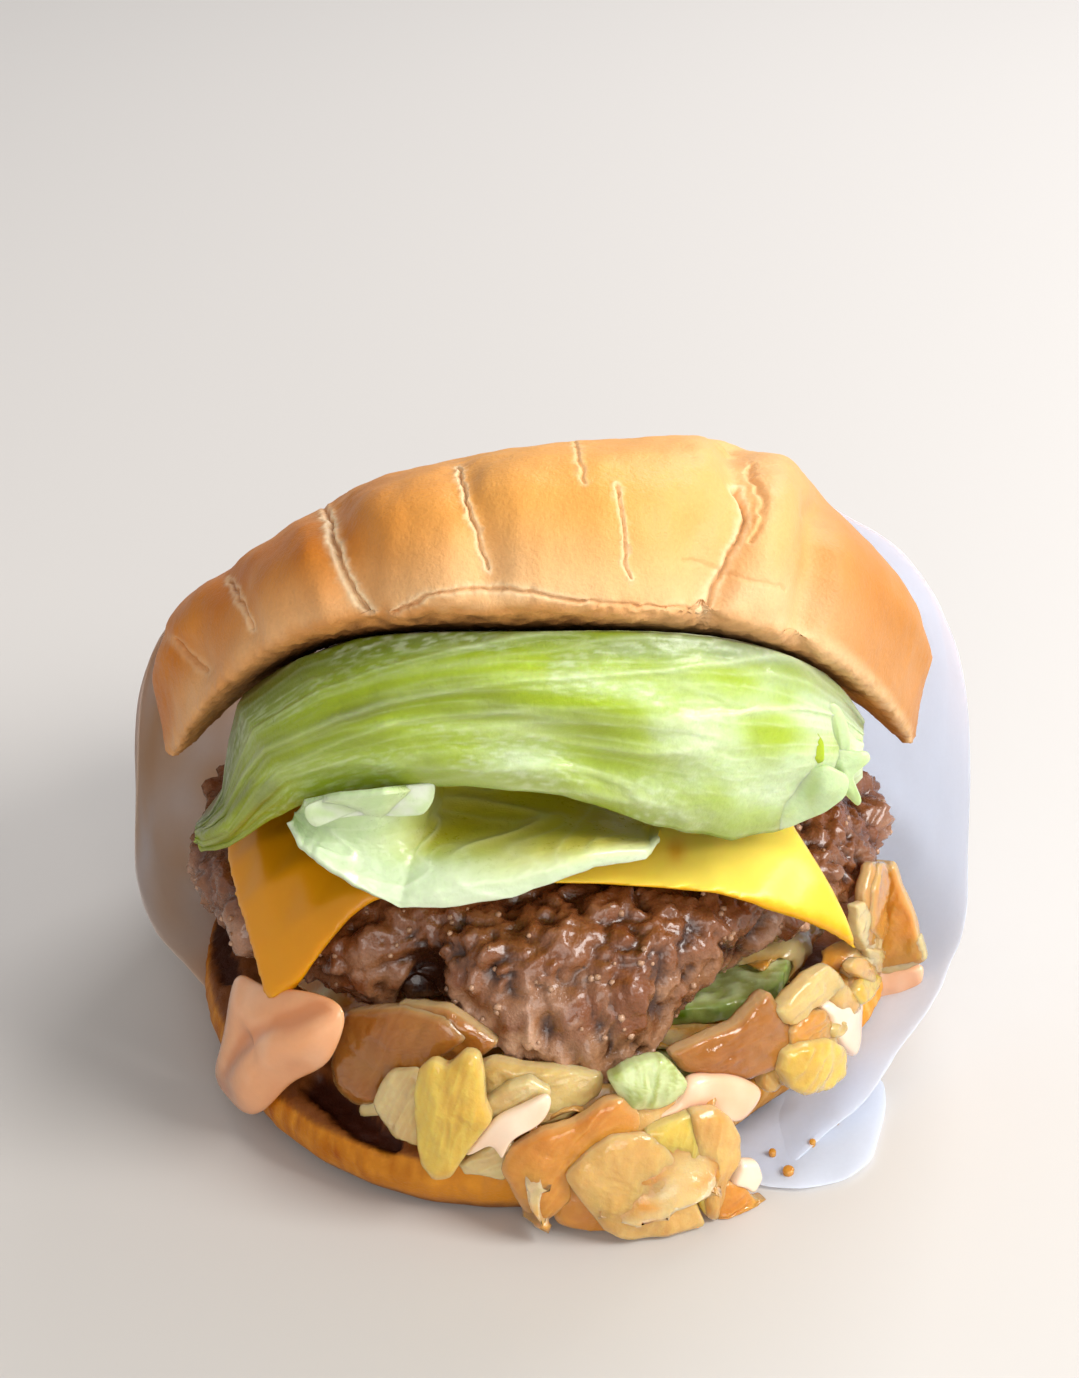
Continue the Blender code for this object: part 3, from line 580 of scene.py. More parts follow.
heel = remeshed(merged_copy("heel", "bottom_bun"), HEEL_VOXEL, 6)
heel_points = points_of(heel.data)
heel_normals = normals_of(heel.data)
heel_turn = np.arctan2(heel_points[:, 1], heel_points[:, 0])
round_the_side = np.stack([50.0 * heel_turn, heel_points[:, 2] * 0.3, np.zeros(len(heel_points))], -1)
heel_side = rise(0.75, 0.35, np.abs(heel_normals[:, 2]))
cut_face = rise(0.45, 0.8, heel_normals[:, 2]) * rise(6.0, 9.0, heel_points[:, 2])
wrinkles = hills(round_the_side, 1.8, seed=4, octaves=2) * heel_side
crumb_pores = hills(heel_points, 1.6, seed=9, octaves=3) * cut_face
px, py = seen_at(heel_points)
wobble = 5.0 * hills(heel_points, 3.0, seed=6, octaves=2)
scorch = np.zeros(len(heel_points))
lift = HEEL_WRINKLE * wrinkles + 0.35 * crumb_pores
for line, half, depth in HEEL_SCORCHES:
    burnt = rise(half * 1.15, half * 0.75, from_line(px, py, line) + wobble) * facing_eye(heel_normals)
    scorch = np.maximum(scorch, burnt)
    lift -= depth * burnt
heel_points += heel_normals * lift[:, None]
heel_points[:, 2] = np.maximum(heel_points[:, 2], 0.0)
move_points(heel.data, heel_points)
streaks = hills(round_the_side, 1.3, seed=12, octaves=3)
# Pale streaks only towards the lit right and darker brown towards the shaded left: painted light and
# painted shade over the crust's own streaks.
heel_tone = blended(
    tone(HEEL_GOLD), tone(HEEL_PALE),
    rise(-0.2, 0.7, streaks) * rise(-30.0, 30.0, heel_points[:, 0]),
)
heel_tone = blended(
    heel_tone, tone(HEEL_BROWN), rise(22.0, -34.0, heel_points[:, 0]) * (0.75 + 0.5 * streaks),
)
# Darker brown in its lowest few millimetres: the darker bottom crust, with a painted contact shadow where
# it meets the ground.
heel_tone = blended(heel_tone, tone(TOAST_BROWN), rise(3.2, 0.6, heel_points[:, 2] + streaks) * 0.85)
heel_tone = blended(heel_tone, tone(TOAST_BROWN), cut_face)
heel_tone = blended(heel_tone, tone(TOAST_DARK), np.clip(scorch * 1.3, 0.0, 1.0))
paint(heel.data, heel_tone)
crust = food_material(
    "bun_crust", blotches=150.0, flecks=1900.0, uneven=0.2, dullness=0.46, relief=0.22, soft=0.05,
    soft_reach=(1.0, 0.5, 0.2),
)
crust.node_tree.nodes["Principled BSDF"].inputs["Specular IOR Level"].default_value = 0.3
finish_piece(heel, crust, "bun", "heel")


# Fried onions
# Chopped onion, fried until clear and amber: thick petals with a fine grain along them, piled
# between the bottom bun and the meat and spilling over the front. One node, one joined piece.
# The last tone is darker: the petals that lie back under the patty take it as painted shade, and small
# pieces take any tone at random.
ONION_TONES = (
    (242, 192, 110), (250, 212, 96), (240, 208, 134), (240, 164, 66), (248, 218, 156), (188, 122, 50),
)
ONION_RIM = (250, 228, 176)
ONION_BROWNED = (0.84, 0.70, 0.48)
ONION_VOXEL = 0.9
# Frying leaves each piece thinner and flatter than the sizes below.
FRIED_THINNER = 0.85
FRIED_FLATTER = 0.4
# Each petal: outline in picture points, radius of the drum it lies on, thickness, bulge, lean in
# mm for each 100 points down, tone number and the direction of its grain in degrees.
ONION_PETALS = (
    (
        (
            (350, 1008), (407, 1004), (450, 1014), (470, 1036), (430, 1064), (390, 1080),
            (380, 1104), (356, 1102), (338, 1080), (336, 1050),
        ),
        45.6, 4.5, 1.0, 2.6, 5, 70.0,
    ),
    (
        ((400, 1000), (450, 1005), (500, 1040), (470, 1066), (430, 1060), (404, 1040)),
        45.0, 3.5, 0.8, 1.5, 5, 20.0,
    ),
    (
        (
            (381, 1084), (390, 1070), (416, 1068), (434, 1090), (434, 1112), (425, 1132),
            (423, 1145), (397, 1135), (384, 1118), (376, 1102),
        ),
        50.0, 3.0, 0.6, 1.8, 4, 60.0,
    ),
    (
        (
            (420, 1066), (434, 1056), (448, 1064), (466, 1048), (480, 1052), (485, 1074),
            (486, 1100), (494, 1118), (476, 1140), (462, 1160), (452, 1176), (434, 1178),
            (422, 1160), (417, 1124), (416, 1090),
        ),
        51.6, 3.4, 0.8, 1.8, 1, 80.0,
    ),
    (
        (
            (474, 1064), (492, 1056), (520, 1062), (560, 1066), (604, 1072), (600, 1092),
            (566, 1116), (520, 1126), (486, 1118), (472, 1096),
        ),
        47.6, 3.6, 0.6, 2.0, 2, 14.0,
    ),
    (
        (
            (484, 1098), (510, 1080), (530, 1076), (552, 1088), (546, 1112), (516, 1130),
            (490, 1138), (478, 1122),
        ),
        50.0, 2.6, 0.6, 1.4, 4, 30.0,
    ),
    (
        ((459, 1162), (490, 1142), (512, 1140), (520, 1160), (505, 1178), (480, 1172), (466, 1171)),
        51.4, 2.6, 0.5, 1.2, 4, 20.0,
    ),
    (
        (
            (510, 1146), (540, 1129), (575, 1120), (604, 1098), (622, 1094), (640, 1112),
            (637, 1132), (607, 1136), (575, 1160), (566, 1176), (572, 1196), (553, 1214),
            (536, 1227), (526, 1213), (513, 1190), (500, 1166),
        ),
        51.6, 3.2, 0.7, 1.8, 3, 50.0,
    ),
    (
        (
            (565, 1180), (640, 1160), (690, 1200), (700, 1224), (640, 1232), (590, 1230),
            (556, 1222), (552, 1206),
        ),
        51.4, 3.4, 0.5, 2.0, 3, 75.0,
    ),
    (
        (
            (564, 1174), (586, 1152), (610, 1135), (647, 1132), (664, 1143), (688, 1177),
            (692, 1194), (705, 1225), (685, 1231), (666, 1236), (624, 1239), (604, 1229),
            (585, 1205), (570, 1186),
        ),
        53.6, 2.8, 0.8, 2.0, 0, 75.0,
    ),
    (
        (
            (642, 1130), (668, 1119), (690, 1110), (700, 1140), (706, 1182), (704, 1216),
            (690, 1192), (680, 1165), (664, 1144),
        ),
        52.6, 3.0, 1.0, 1.6, 1, 75.0,
    ),
    (
        (
            (688, 1110), (714, 1105), (728, 1115), (738, 1134), (738, 1156), (724, 1182),
            (714, 1222), (704, 1216), (698, 1180), (690, 1140),
        ),
        52.8, 3.0, 1.2, 1.6, 0, 80.0,
    ),
    (
        (
            (714, 1200), (724, 1180), (742, 1184), (752, 1198), (763, 1209), (742, 1218),
            (724, 1226), (710, 1224),
        ),
        53.6, 2.8, 0.8, 1.0, 3, 30.0,
    ),
    (
        (
            (666, 1052), (690, 1040), (733, 1022), (765, 988), (776, 1006), (790, 1027),
            (782, 1050), (774, 1068), (744, 1077), (718, 1072), (680, 1069),
        ),
        46.4, 3.8, 0.8, 2.0, 5, 30.0,
    ),
    (
        (
            (773, 1010), (803, 978), (825, 963), (838, 976), (841, 988), (808, 1007), (790, 1024),
            (778, 1021),
        ),
        47.4, 3.2, 0.7, 0.8, 2, 40.0,
    ),
    (
        (
            (776, 1067), (781, 1050), (800, 1040), (824, 1036), (840, 1046), (842, 1073),
            (826, 1087), (800, 1094), (786, 1087),
        ),
        49.2, 3.8, 0.8, 1.0, 1, 60.0,
    ),
    (
        ((786, 1030), (806, 1010), (822, 1008), (832, 1038), (806, 1046), (786, 1052)),
        48.0, 3.2, 0.7, 1.0, 3, 35.0,
    ),
    (
        (
            (868, 861), (895, 862), (902, 884), (914, 912), (926, 960), (899, 966), (868, 972),
            (858, 936), (860, 893),
        ),
        46.4, 3.2, 0.7, 0.8, 3, 70.0,
    ),
    (
        ((878, 862), (892, 862), (896, 890), (902, 938), (884, 946), (868, 930), (870, 890)),
        47.4, 2.6, 0.6, 0.8, 3, 75.0,
    ),
    (
        ((864, 948), (900, 940), (922, 934), (928, 958), (906, 968), (870, 974)),
        47.6, 2.6, 0.5, 0.5, 4, 10.0,
    ),
    (
        ((852, 905), (860, 900), (872, 926), (880, 948), (864, 958), (854, 936)),
        46.8, 2.6, 0.5, 0.5, 4, 60.0,
    ),
)
# Small chopped pieces in the gaps: how many, the line they lie along and how far off it in picture
# points, radius of the drum they lie on, size in picture points, thickness and lean.
CHOPS = 54
CHOPS_LINE = (
    (352.0, 1062.0), (430.0, 1096.0), (520.0, 1118.0), (620.0, 1126.0), (700.0, 1100.0),
    (780.0, 1056.0), (838.0, 1010.0), (872.0, 948.0),
)
CHOPS_SPREAD = 24.0
CHOPS_RADIUS = (45.6, 48.2)
CHOPS_SIZE = (14.0, 27.0)
CHOPS_THICK = (2.0, 3.2)
CHOPS_LEAN = (-2.0, 6.0)
# Crumbs that fell on the paper's flap: picture points and size in points, and how high they lie.
CRUMBS = ((788.0, 1178.0, 7.0), (812.0, 1150.0, 4.0), (772.0, 1160.0, 4.5), (836.0, 1128.0, 3.5))
CRUMBS_UP = 1.2


def above_floor(points):
    """Eases what would sink under the ground back up to it, without folding it flat."""
    points[:, 2] = 0.5 * (points[:, 2] + np.sqrt(points[:, 2] ** 2 + 0.8))
    return points


def drum_place(radius, lean, from_py):
    """A rule that lays picture points on a drum which widens downwards."""
    return lambda x, y: on_drum(x, y, radius + lean * (y - from_py) / 100.0)


def onion_flesh(outline, radius, thick, bulge, lean, tone_number, grain_deg, number, around=72, rings=12):
    """One piece of onion with its grain, as points, faces and paint."""
    top_py = min(corner[1] for corner in outline)
    points, faces, seen, share, normal = slab(
        outline, drum_place(radius, lean, top_py), FRIED_THINNER * thick, FRIED_FLATTER * bulge,
        around, rings,
    )
    grain = math.radians(grain_deg)
    across_grain = seen[:, 0] * math.sin(grain) + seen[:, 1] * math.cos(grain)
    along_grain = seen[:, 0] * math.cos(grain) - seen[:, 1] * math.sin(grain)
    drawn_out = np.stack([across_grain / 9.0, along_grain / 70.0, np.full(len(seen), 7.0 * number)], -1)
    ribs = 0.8 - 2.4 * np.abs(hills(drawn_out, 1.0, seed=40, octaves=2))
    warp = hills(points, 7.0, seed=50 + number)
    chipped = hills(points, 2.2, seed=49, octaves=2)
    relief = (0.13 * ribs + 0.55 * warp) * rise(1.0, 0.8, share) + 0.28 * chipped
    points = above_floor(points + normal * relief[:, None])
    base = tone(ONION_TONES[tone_number])
    colour = blended(base, base * ONION_BROWNED, rise(-0.3, 0.6, warp) * 0.7)
    colour = blended(colour, np.minimum(base * 1.25 + 0.03, 1.0), rise(0.2, 0.8, ribs) * 0.3)
    return points, faces, blended(colour, tone(ONION_RIM), rise(0.96, 1.0, share) * 0.5)


onion_parts = []
for number, petal in enumerate(ONION_PETALS):
    onion_parts.append(onion_flesh(*petal, number))
chance = np.random.default_rng(7)
line_x, line_y = np.array(CHOPS_LINE).T
for number in range(CHOPS):
    stop = chance.uniform(0.0, len(line_x) - 1.0)
    at_x = np.interp(stop, range(len(line_x)), line_x) + chance.normal(0.0, 5.0)
    at_y = np.interp(stop, range(len(line_y)), line_y) + chance.uniform(-CHOPS_SPREAD, CHOPS_SPREAD)
    size = chance.uniform(*CHOPS_SIZE)
    turn = chance.uniform(0.0, math.pi)
    outline = []
    for k in range(7):
        angle = 2.0 * math.pi * (k + chance.uniform(-0.3, 0.3)) / 7
        long_x = size * math.cos(angle) * chance.uniform(0.8, 1.1)
        short_y = 0.6 * size * math.sin(angle) * chance.uniform(0.8, 1.1)
        corner_x = at_x + long_x * math.cos(turn) - short_y * math.sin(turn)
        corner_y = at_y + long_x * math.sin(turn) + short_y * math.cos(turn)
        outline.append((corner_x, corner_y))
    radius = chance.uniform(*CHOPS_RADIUS)
    thick = chance.uniform(*CHOPS_THICK)
    lean = chance.uniform(*CHOPS_LEAN)
    tone_number = int(chance.integers(0, len(ONION_TONES)))
    onion_parts.append(
        onion_flesh(
            outline, radius, thick, 0.5, lean, tone_number, math.degrees(turn), 30 + number,
            around=28, rings=5,
        )
    )
for crumb_x, crumb_y, crumb_size in CRUMBS:
    outline = []
    for k in range(6):
        outline.append((crumb_x + crumb_size * math.cos(k), crumb_y + 0.7 * crumb_size * math.sin(k)))
    crumb, faces, seen, share, normal = slab(outline, on_floor, 1.0, 0.3, around=12, rings=3)
    crumb[:, 2] += CRUMBS_UP
    onion_parts.append((crumb, faces, np.tile(tone(ONION_TONES[3]), (len(crumb), 1))))
points, faces = joined(onion_parts)
petals = mesh_from("onion_petals", points, faces)
paint(petals, np.vstack([part[2] for part in onion_parts]))

onion_core = remeshed(merged_copy("onions", "onion_heap"), ONION_VOXEL, 8)
core_points = points_of(onion_core.data)
core_normals = normals_of(onion_core.data)
chops = hills(core_points * (0.7, 1.0, 1.4), 5.0, seed=60, octaves=3)
core_drawn_in = 3.2 * rise(-30.0, -50.0, core_points[:, 1])
core_drawn_in += 1.4 * rise(38.0, 46.0, np.hypot(core_points[:, 0], core_points[:, 1]))
core_points -= core_normals * (core_drawn_in - 0.9 * chops)[:, None]
core_points[:, 2] = np.maximum(core_points[:, 2], 0.6)
move_points(onion_core.data, core_points)
paint(onion_core.data, blended(tone(ONION_TONES[3]), tone(ONION_TONES[4]), rise(-0.5, 0.6, chops)))
add_mesh(onion_core, petals)
fried = food_material(
    "fried_onion", blotches=240.0, flecks=800.0, uneven=0.16, dullness=0.09, relief=0.3, soft=0.4,
    soft_reach=(1.3, 0.75, 0.25), wet=0.5, clear=0.36,
)
finish_piece(onion_core, fried, "onion", "onions")


# Pickle
# Two slices of pickled cucumber: one shows green under the right of the patty, the other's pale
# green end shows between the onions in front.
PICKLE_SKIN = (104, 128, 40)
PICKLE_FLESH = (170, 178, 104)
PICKLE_PALE = (208, 218, 160)
PICKLE_VOXEL = 0.45
# Node, middle and name of each slice.
PICKLE_SLICES = (
    ("pickle_right", (20.0, -18.0), "pickle_slice_right"),
    ("pickle_front", (12.0, -35.5), "pickle_slice_front"),
)
# The end that shows in front: outline in picture points, then the radius of the drum it lies on,
# thickness, bulge, lean and the picture row where the drum has that radius.
PICKLE_END = (
    (606, 1074), (634, 1060), (661, 1054), (672, 1062), (686, 1079), (680, 1092), (658, 1106),
    (627, 1108), (617, 1094),
)
PICKLE_END_AT = (50.2, 3.2, 0.6, 1.4, 1062.0)

for node, middle, slice_name in PICKLE_SLICES:
    pickle = remeshed(merged_copy(node, slice_name), PICKLE_VOXEL, 4)
    slice_points = points_of(pickle.data)
    slice_normals = normals_of(pickle.data)
    away = np.hypot(slice_points[:, 0] - middle[0], slice_points[:, 1] - middle[1])
    seeds = hills(slice_points, 2.2, seed=71, octaves=2)
    slice_points += slice_normals * (0.25 * seeds)[:, None]
    move_points(pickle.data, slice_points)
    flesh = blended(tone(PICKLE_FLESH), tone(PICKLE_PALE), rise(-0.3, 0.6, seeds))
    paint(
        pickle.data,
        blended(flesh, tone(PICKLE_SKIN), rise(0.86, 0.97, away / away.max()) * (0.7 + 0.5 * seeds)),
    )
    if node == "pickle_front":
        radius, thick, bulge, lean, from_py = PICKLE_END_AT
        points, faces, seen, share, normal = slab(
            PICKLE_END, drum_place(radius, lean, from_py), thick, bulge,
        )
        drawn_out = np.stack([seen[:, 0] / 6.0, seen[:, 1] / 30.0, np.zeros(len(seen))], -1)
        ribs = hills(drawn_out, 1.0, seed=72, octaves=2)
        points = points + normal * (0.35 * ribs + 0.3 * hills(points, 4.0, seed=73))[:, None]
        shown = mesh_from("pickle_end", points, faces)
        paint(shown, blended(tone(PICKLE_PALE), tone(PICKLE_FLESH), rise(-0.2, 0.5, ribs)))
        add_mesh(pickle, shown)
    brined = food_material(
        slice_name, blotches=300.0, flecks=1200.0, uneven=0.2, dullness=0.2, relief=0.1, soft=0.5,
        soft_reach=(0.6, 1.0, 0.3), wet=0.35, clear=0.1,
    )
    finish_piece(pickle, brined, "pickle", node)


# Sauce
# Pink burger sauce, squeezed on: a thick blob that slumps over the left of the bottom bun, and thin
# smears between the onions in front and at the right.
SAUCE_PINK = (232, 166, 116)
SAUCE_CREAM = (246, 220, 194)
SAUCE_DEEP = (206, 124, 70)
# How often the sauce's surface is evened out.
SAUCE_EVEN = 50
# Blob and smears: outline in picture points, drum radius, thickness, bulge, lean and how pale, from
# creamier sauce and painted light.
SAUCE_SMEARS = (
    (
        (
            (234, 962), (262, 988), (301, 986), (338, 998), (354, 1008), (350, 1022), (340, 1047),
            (331, 1070), (310, 1076), (292, 1080), (276, 1102), (256, 1125), (244, 1122),
            (232, 1102), (214, 1090), (209, 1079), (220, 1059), (228, 1029), (231, 1001),
        ),
        50.0, 2.0, 2.4, 1.8, 0.0,
    ),
    (
        (
            (684, 1073), (717, 1072), (740, 1074), (768, 1088), (754, 1110), (738, 1126),
            (714, 1112), (690, 1112), (650, 1124), (640, 1128), (646, 1112), (674, 1104),
        ),
        49.8, 2.6, 0.6, 1.8, 0.6,
    ),
    (
        (
            (459, 1160), (478, 1137), (494, 1115), (524, 1103), (552, 1088), (556, 1100),
            (545, 1123), (520, 1133), (508, 1142), (502, 1166), (497, 1150), (490, 1141),
            (474, 1153),
        ),
        52.2, 1.8, 0.4, 1.6, 0.9,
    ),
    (
        ((738, 1158), (756, 1158), (762, 1176), (752, 1194), (740, 1186), (728, 1184)),
        53.2, 2.2, 0.5, 1.0, 1.0,
    ),
    (
        (
            (843, 986), (860, 992), (858, 1040), (853, 1062), (843, 1052), (832, 1040), (824, 1014),
            (816, 1006),
        ),
        48.0, 2.4, 0.5, 0.8, 0.95,
    ),
    (
        ((856, 972), (898, 966), (926, 964), (924, 984), (908, 998), (880, 1004), (860, 990)),
        47.6, 2.0, 0.4, 0.5, 0.5,
    ),
)
# Furrows and ridges of the blob: line in picture points, height in mm, half width in points.
SAUCE_RIDGES = (
    (((330, 1004), (290, 1016), (256, 1040), (236, 1070)), -0.9, 7.0),
    (((246, 1000), (240, 1030), (226, 1062)), 0.8, 9.0),
    (((334, 1030), (300, 1044), (272, 1066), (256, 1100)), 0.7, 12.0),
    (((222, 1082), (236, 1088)), -0.6, 8.0),
)

sauce_parts = []
sauce_tones = []
for number, (outline, radius, thick, bulge, lean, creamy) in enumerate(SAUCE_SMEARS):
    top_py = min(corner[1] for corner in outline)
    points, faces, seen, share, normal = slab(
        outline, drum_place(radius, lean, top_py), thick, bulge, around=96, rings=24, reach=26.0,
        rounds=8,
    )
    flow = hills(points * (1.0, 1.0, 0.6), 6.5, seed=80 + number, octaves=2)
    swell = 0.5 * flow
    for line, height, half in SAUCE_RIDGES:
        swell = swell + height * hump(from_line(seen[:, 0], seen[:, 1], line), 0.0, half)
    points = above_floor(points + normal * (swell * rise(1.0, 0.8, share))[:, None])
    sauce_parts.append((points, faces))
    # Paler cream on the lit smears: painted light and highlight, over the sauce's own creamier streaks.
    cream_share = np.clip(creamy + 0.3 * flow, 0.0, 1.0)
    colour = blended(tone(SAUCE_PINK), tone(SAUCE_CREAM), cream_share)
    # Darker in the furrows and low places: painted shade.
    sauce_tones.append(blended(colour, tone(SAUCE_DEEP), rise(0.2, -0.8, swell) * 0.7 * (1.0 - creamy)))
points, faces = joined(sauce_parts)
sauce_mesh = mesh_from("burger_sauce", points, faces)
paint(sauce_mesh, np.vstack(sauce_tones))
sauce = object_for("burger_sauce", sauce_mesh)
even_out = sauce.modifiers.new("even_out", "SMOOTH")
even_out.iterations = SAUCE_EVEN
settled(sauce)
pink = food_material(
    "burger_sauce", blotches=200.0, flecks=900.0, uneven=0.08, dullness=0.2, relief=0.06, soft=0.3,
    soft_reach=(1.0, 0.6, 0.4), wet=0.5,
)
finish_piece(sauce, pink, "sauce", "sauce")


# Beef patty
# Coarse minced beef pressed into a thick patty: lumps and round grains of meat with painted shade in
# the gaps between them, seared dark and greasy above, pinkish grey below where it steamed.
PATTY_VOXEL = 0.55
# Lumps: size and height. How much fuller the patty is than its solid, and the size of its grains.
LUMP_SIZES = ((9.0, 1.3), (4.2, 0.9), (2.0, 0.55), (1.0, 0.22))
PATTY_FULLER = 0.7
GRAIN_SIZE = 1.9
MEAT_SEARED = (120, 68, 34)
MEAT_TAN = (148, 104, 70)
MEAT_LIGHT = (206, 164, 134)
MEAT_GAP = (58, 28, 14)
# The notch between the patty's two lobes, in picture points: line, half width and depth.
PATTY_NOTCH = (((408, 1022), (418, 992), (432, 968)), 13.0, 2.6)
# Where the main lobe hangs lowest, in picture points: middle, half width, from and down to. How
# far it hangs forwards and down.
PATTY_HANG = (588.0, 84.0, 975.0, 1045.0)
PATTY_HANG_BY = (2.6, 3.4)
# The part that lies under the cheese and is pressed flat, in picture points: its lower edge, and
# a point on its right edge with that edge's slope.
COVERED_LOW = (898.0, 874.0)
COVERED_RIGHT = (785.0, 830.0, 0.52)
# How far the patty's right end lies lower and further in than its solid.
PATTY_RIGHT_END = (2.0, 3.4)
# Loose grains: how many on a square metre, size in mm.
LOOSE_GRAINS = 42000.0
LOOSE_SIZE = (0.45, 1.15)


def pebbles(points, size, seed):
    """Distance from each point to the nearest grain centre, and that grain's own number."""
    place = points / size
    low = np.floor(place).astype(np.int64)
    nearest = np.full(len(points), 9.0)
    own = np.zeros(len(points))
    for corner in itertools.product((-1, 0, 1), repeat=3):
        cell = low + np.array(corner)
        centre = cell + np.stack([dice(cell, seed + k) for k in (1, 2, 3)], -1)
        gap = np.linalg.norm(place - centre, axis=-1)
        closer = gap < nearest
        own = np.where(closer, dice(cell, seed + 4), own)
        nearest = np.minimum(nearest, gap)
    return nearest, own


# Grains strewn over a surface where its own "strewn" mark allows them.
strew, strew_in, strew_out = group_with(
    "strew",
    "GeometryNodeTree",
    (
        ("Geometry", "NodeSocketGeometry", None),
        ("Grain", "NodeSocketObject", None),
        ("Density", "NodeSocketFloat", 1000.0),
        ("Smallest", "NodeSocketFloat", 0.001),
        ("Largest", "NodeSocketFloat", 0.002),
        ("Seed", "NodeSocketInt", 1),
        ("Material", "NodeSocketMaterial", None),
    ),
    (("Geometry", "NodeSocketGeometry"),),
)
wanted = add(strew, "GeometryNodeInputNamedAttribute", {"Name": "strewn"}, data_type="FLOAT")
often = add(
    strew, "ShaderNodeMath", {0: wanted.outputs["Attribute"], 1: strew_in.outputs["Density"]},
    operation="MULTIPLY",
)
spots = add(
    strew, "GeometryNodeDistributePointsOnFaces",
    {"Mesh": strew_in.outputs["Geometry"], "Density": often.outputs[0], "Seed": strew_in.outputs["Seed"]},
)
turns = add(strew, "FunctionNodeRandomValue", {"Seed": strew_in.outputs["Seed"]}, data_type="FLOAT_VECTOR")
turns.inputs[1].default_value = (6.283, 6.283, 6.283)
sizes = add(strew, "FunctionNodeRandomValue", data_type="FLOAT")
strew.links.new(strew_in.outputs["Smallest"], sizes.inputs[2])
strew.links.new(strew_in.outputs["Largest"], sizes.inputs[3])
strew.links.new(strew_in.outputs["Seed"], sizes.inputs["Seed"])
grain_shape = add(strew, "GeometryNodeObjectInfo", {"Object": strew_in.outputs["Grain"]})
put = add(
    strew, "GeometryNodeInstanceOnPoints",
    {
        "Points": spots.outputs["Points"], "Instance": grain_shape.outputs["Geometry"],
        "Rotation": turns.outputs[0], "Scale": sizes.outputs[1],
    },
)
real = add(strew, "GeometryNodeRealizeInstances", {"Geometry": put.outputs["Instances"]})
coated = add(
    strew, "GeometryNodeSetMaterial",
    {"Geometry": real.outputs["Geometry"], "Material": strew_in.outputs["Material"]},
)
strew.links.new(coated.outputs["Geometry"], strew_out.inputs["Geometry"])


def strewn_over(made, mask, grain, density, sizes_mm, seed, material):
    """Points and faces, as a mesh, of grains strewn over a piece where mask allows."""
    mark(made.data, "strewn", mask)
    modifier = made.modifiers.new("strew", "NODES")
    modifier.node_group = strew
    values = dict(
        Grain=grain, Density=density, Smallest=sizes_mm[0] * MM, Largest=sizes_mm[1] * MM,
        Seed=seed, Material=material,
    )
    for item in strew.interface.items_tree:
        if item.in_out == "INPUT" and item.name in values:
            modifier[item.identifier] = values[item.name]
    graph = bpy.context.evaluated_depsgraph_get()
    mesh = bpy.data.meshes.new_from_object(made.evaluated_get(graph))
    made.modifiers.clear()
    made.data.attributes.remove(made.data.attributes["strewn"])
    return mesh


def grain_ball(name, seed):
    """A small uneven lump one unit across, which is removed once it has been strewn."""
    bm = bmesh.new()
    bmesh.ops.create_icosphere(bm, subdivisions=1, radius=0.5)
    for vert in bm.verts:
        vert.co *= 0.8 + 0.4 * float(dice(np.array([vert.index, 3, 5]), seed))
    mesh = bpy.data.meshes.new(name)
    bm.to_mesh(mesh)
    bm.free()
    mesh.shade_smooth()
    return object_for(name, mesh)


patty = remeshed(merged_copy("patty", "beef_patty"), PATTY_VOXEL, 5)
meat_points = points_of(patty.data)
meat_normals = normals_of(patty.data)
bent = meat_points + 1.3 * np.stack([hills(meat_points, 4.0, seed=90 + k) for k in range(3)], -1)
swell = np.full(len(meat_points), PATTY_FULLER)
for k, (size, height) in enumerate(LUMP_SIZES):
    swell += height * (np.abs(hills(bent, size, seed=100 + k)) * 2.0 - 0.55)
near_grain, own_grain = pebbles(bent, GRAIN_SIZE, 110)
grain_dome = np.sqrt(np.clip(1.0 - near_grain ** 2, 0.0, 1.0)) * own_grain
swell += 0.7 * (grain_dome - 0.4)
px, py = seen_at(meat_points)
line, half, depth = PATTY_NOTCH
notch = hump(from_line(px, py, line), 0.0, half) * facing_eye(meat_normals)
swell -= depth * notch
hang_at, hang_half, hang_from, hang_to = PATTY_HANG
in_front = rise(-0.2, 0.15, -(meat_normals @ LOOK))
hang = hump(px, hang_at, hang_half) * rise(hang_from, hang_to, py) * in_front
meat_points[:, 1] -= PATTY_HANG_BY[0] * hang
meat_points[:, 2] -= PATTY_HANG_BY[1] * hang
right_px, right_py, right_slope = COVERED_RIGHT
past_right = px - right_px - right_slope * (py - right_py)
covered = rise(*COVERED_LOW, py) * rise(6.0, -14.0, past_right)
under_cheese = rise(0.6, 0.9, meat_normals[:, 2]) * covered
right_end = rise(34.0, 48.0, meat_points[:, 0])
meat_points[:, 2] -= PATTY_RIGHT_END[1] * right_end * rise(24.0, 40.0, meat_points[:, 2])
meat_points[:, 0] -= PATTY_RIGHT_END[0] * right_end
swell = swell * (1.0 - 0.85 * under_cheese) - 0.6 * under_cheese
meat_points += meat_normals * swell[:, None]
move_points(patty.data, meat_points)
blotches = hills(meat_points, 6.0, seed=122, octaves=3)
seared = np.clip(rise(24.0, 34.0, meat_points[:, 2] + 5.0 * blotches), 0.0, 1.0)
# Lighter on the raised lumps, as painted light, and on some grains at random.
light_share = 0.8 * np.clip(rise(0.5, 1.7, swell) + 0.4 * own_grain - 0.2, 0.0, 1.0)
seared_share = np.clip(0.85 * seared + 0.5 * rise(0.1, 0.6, blotches), 0.0, 1.0)
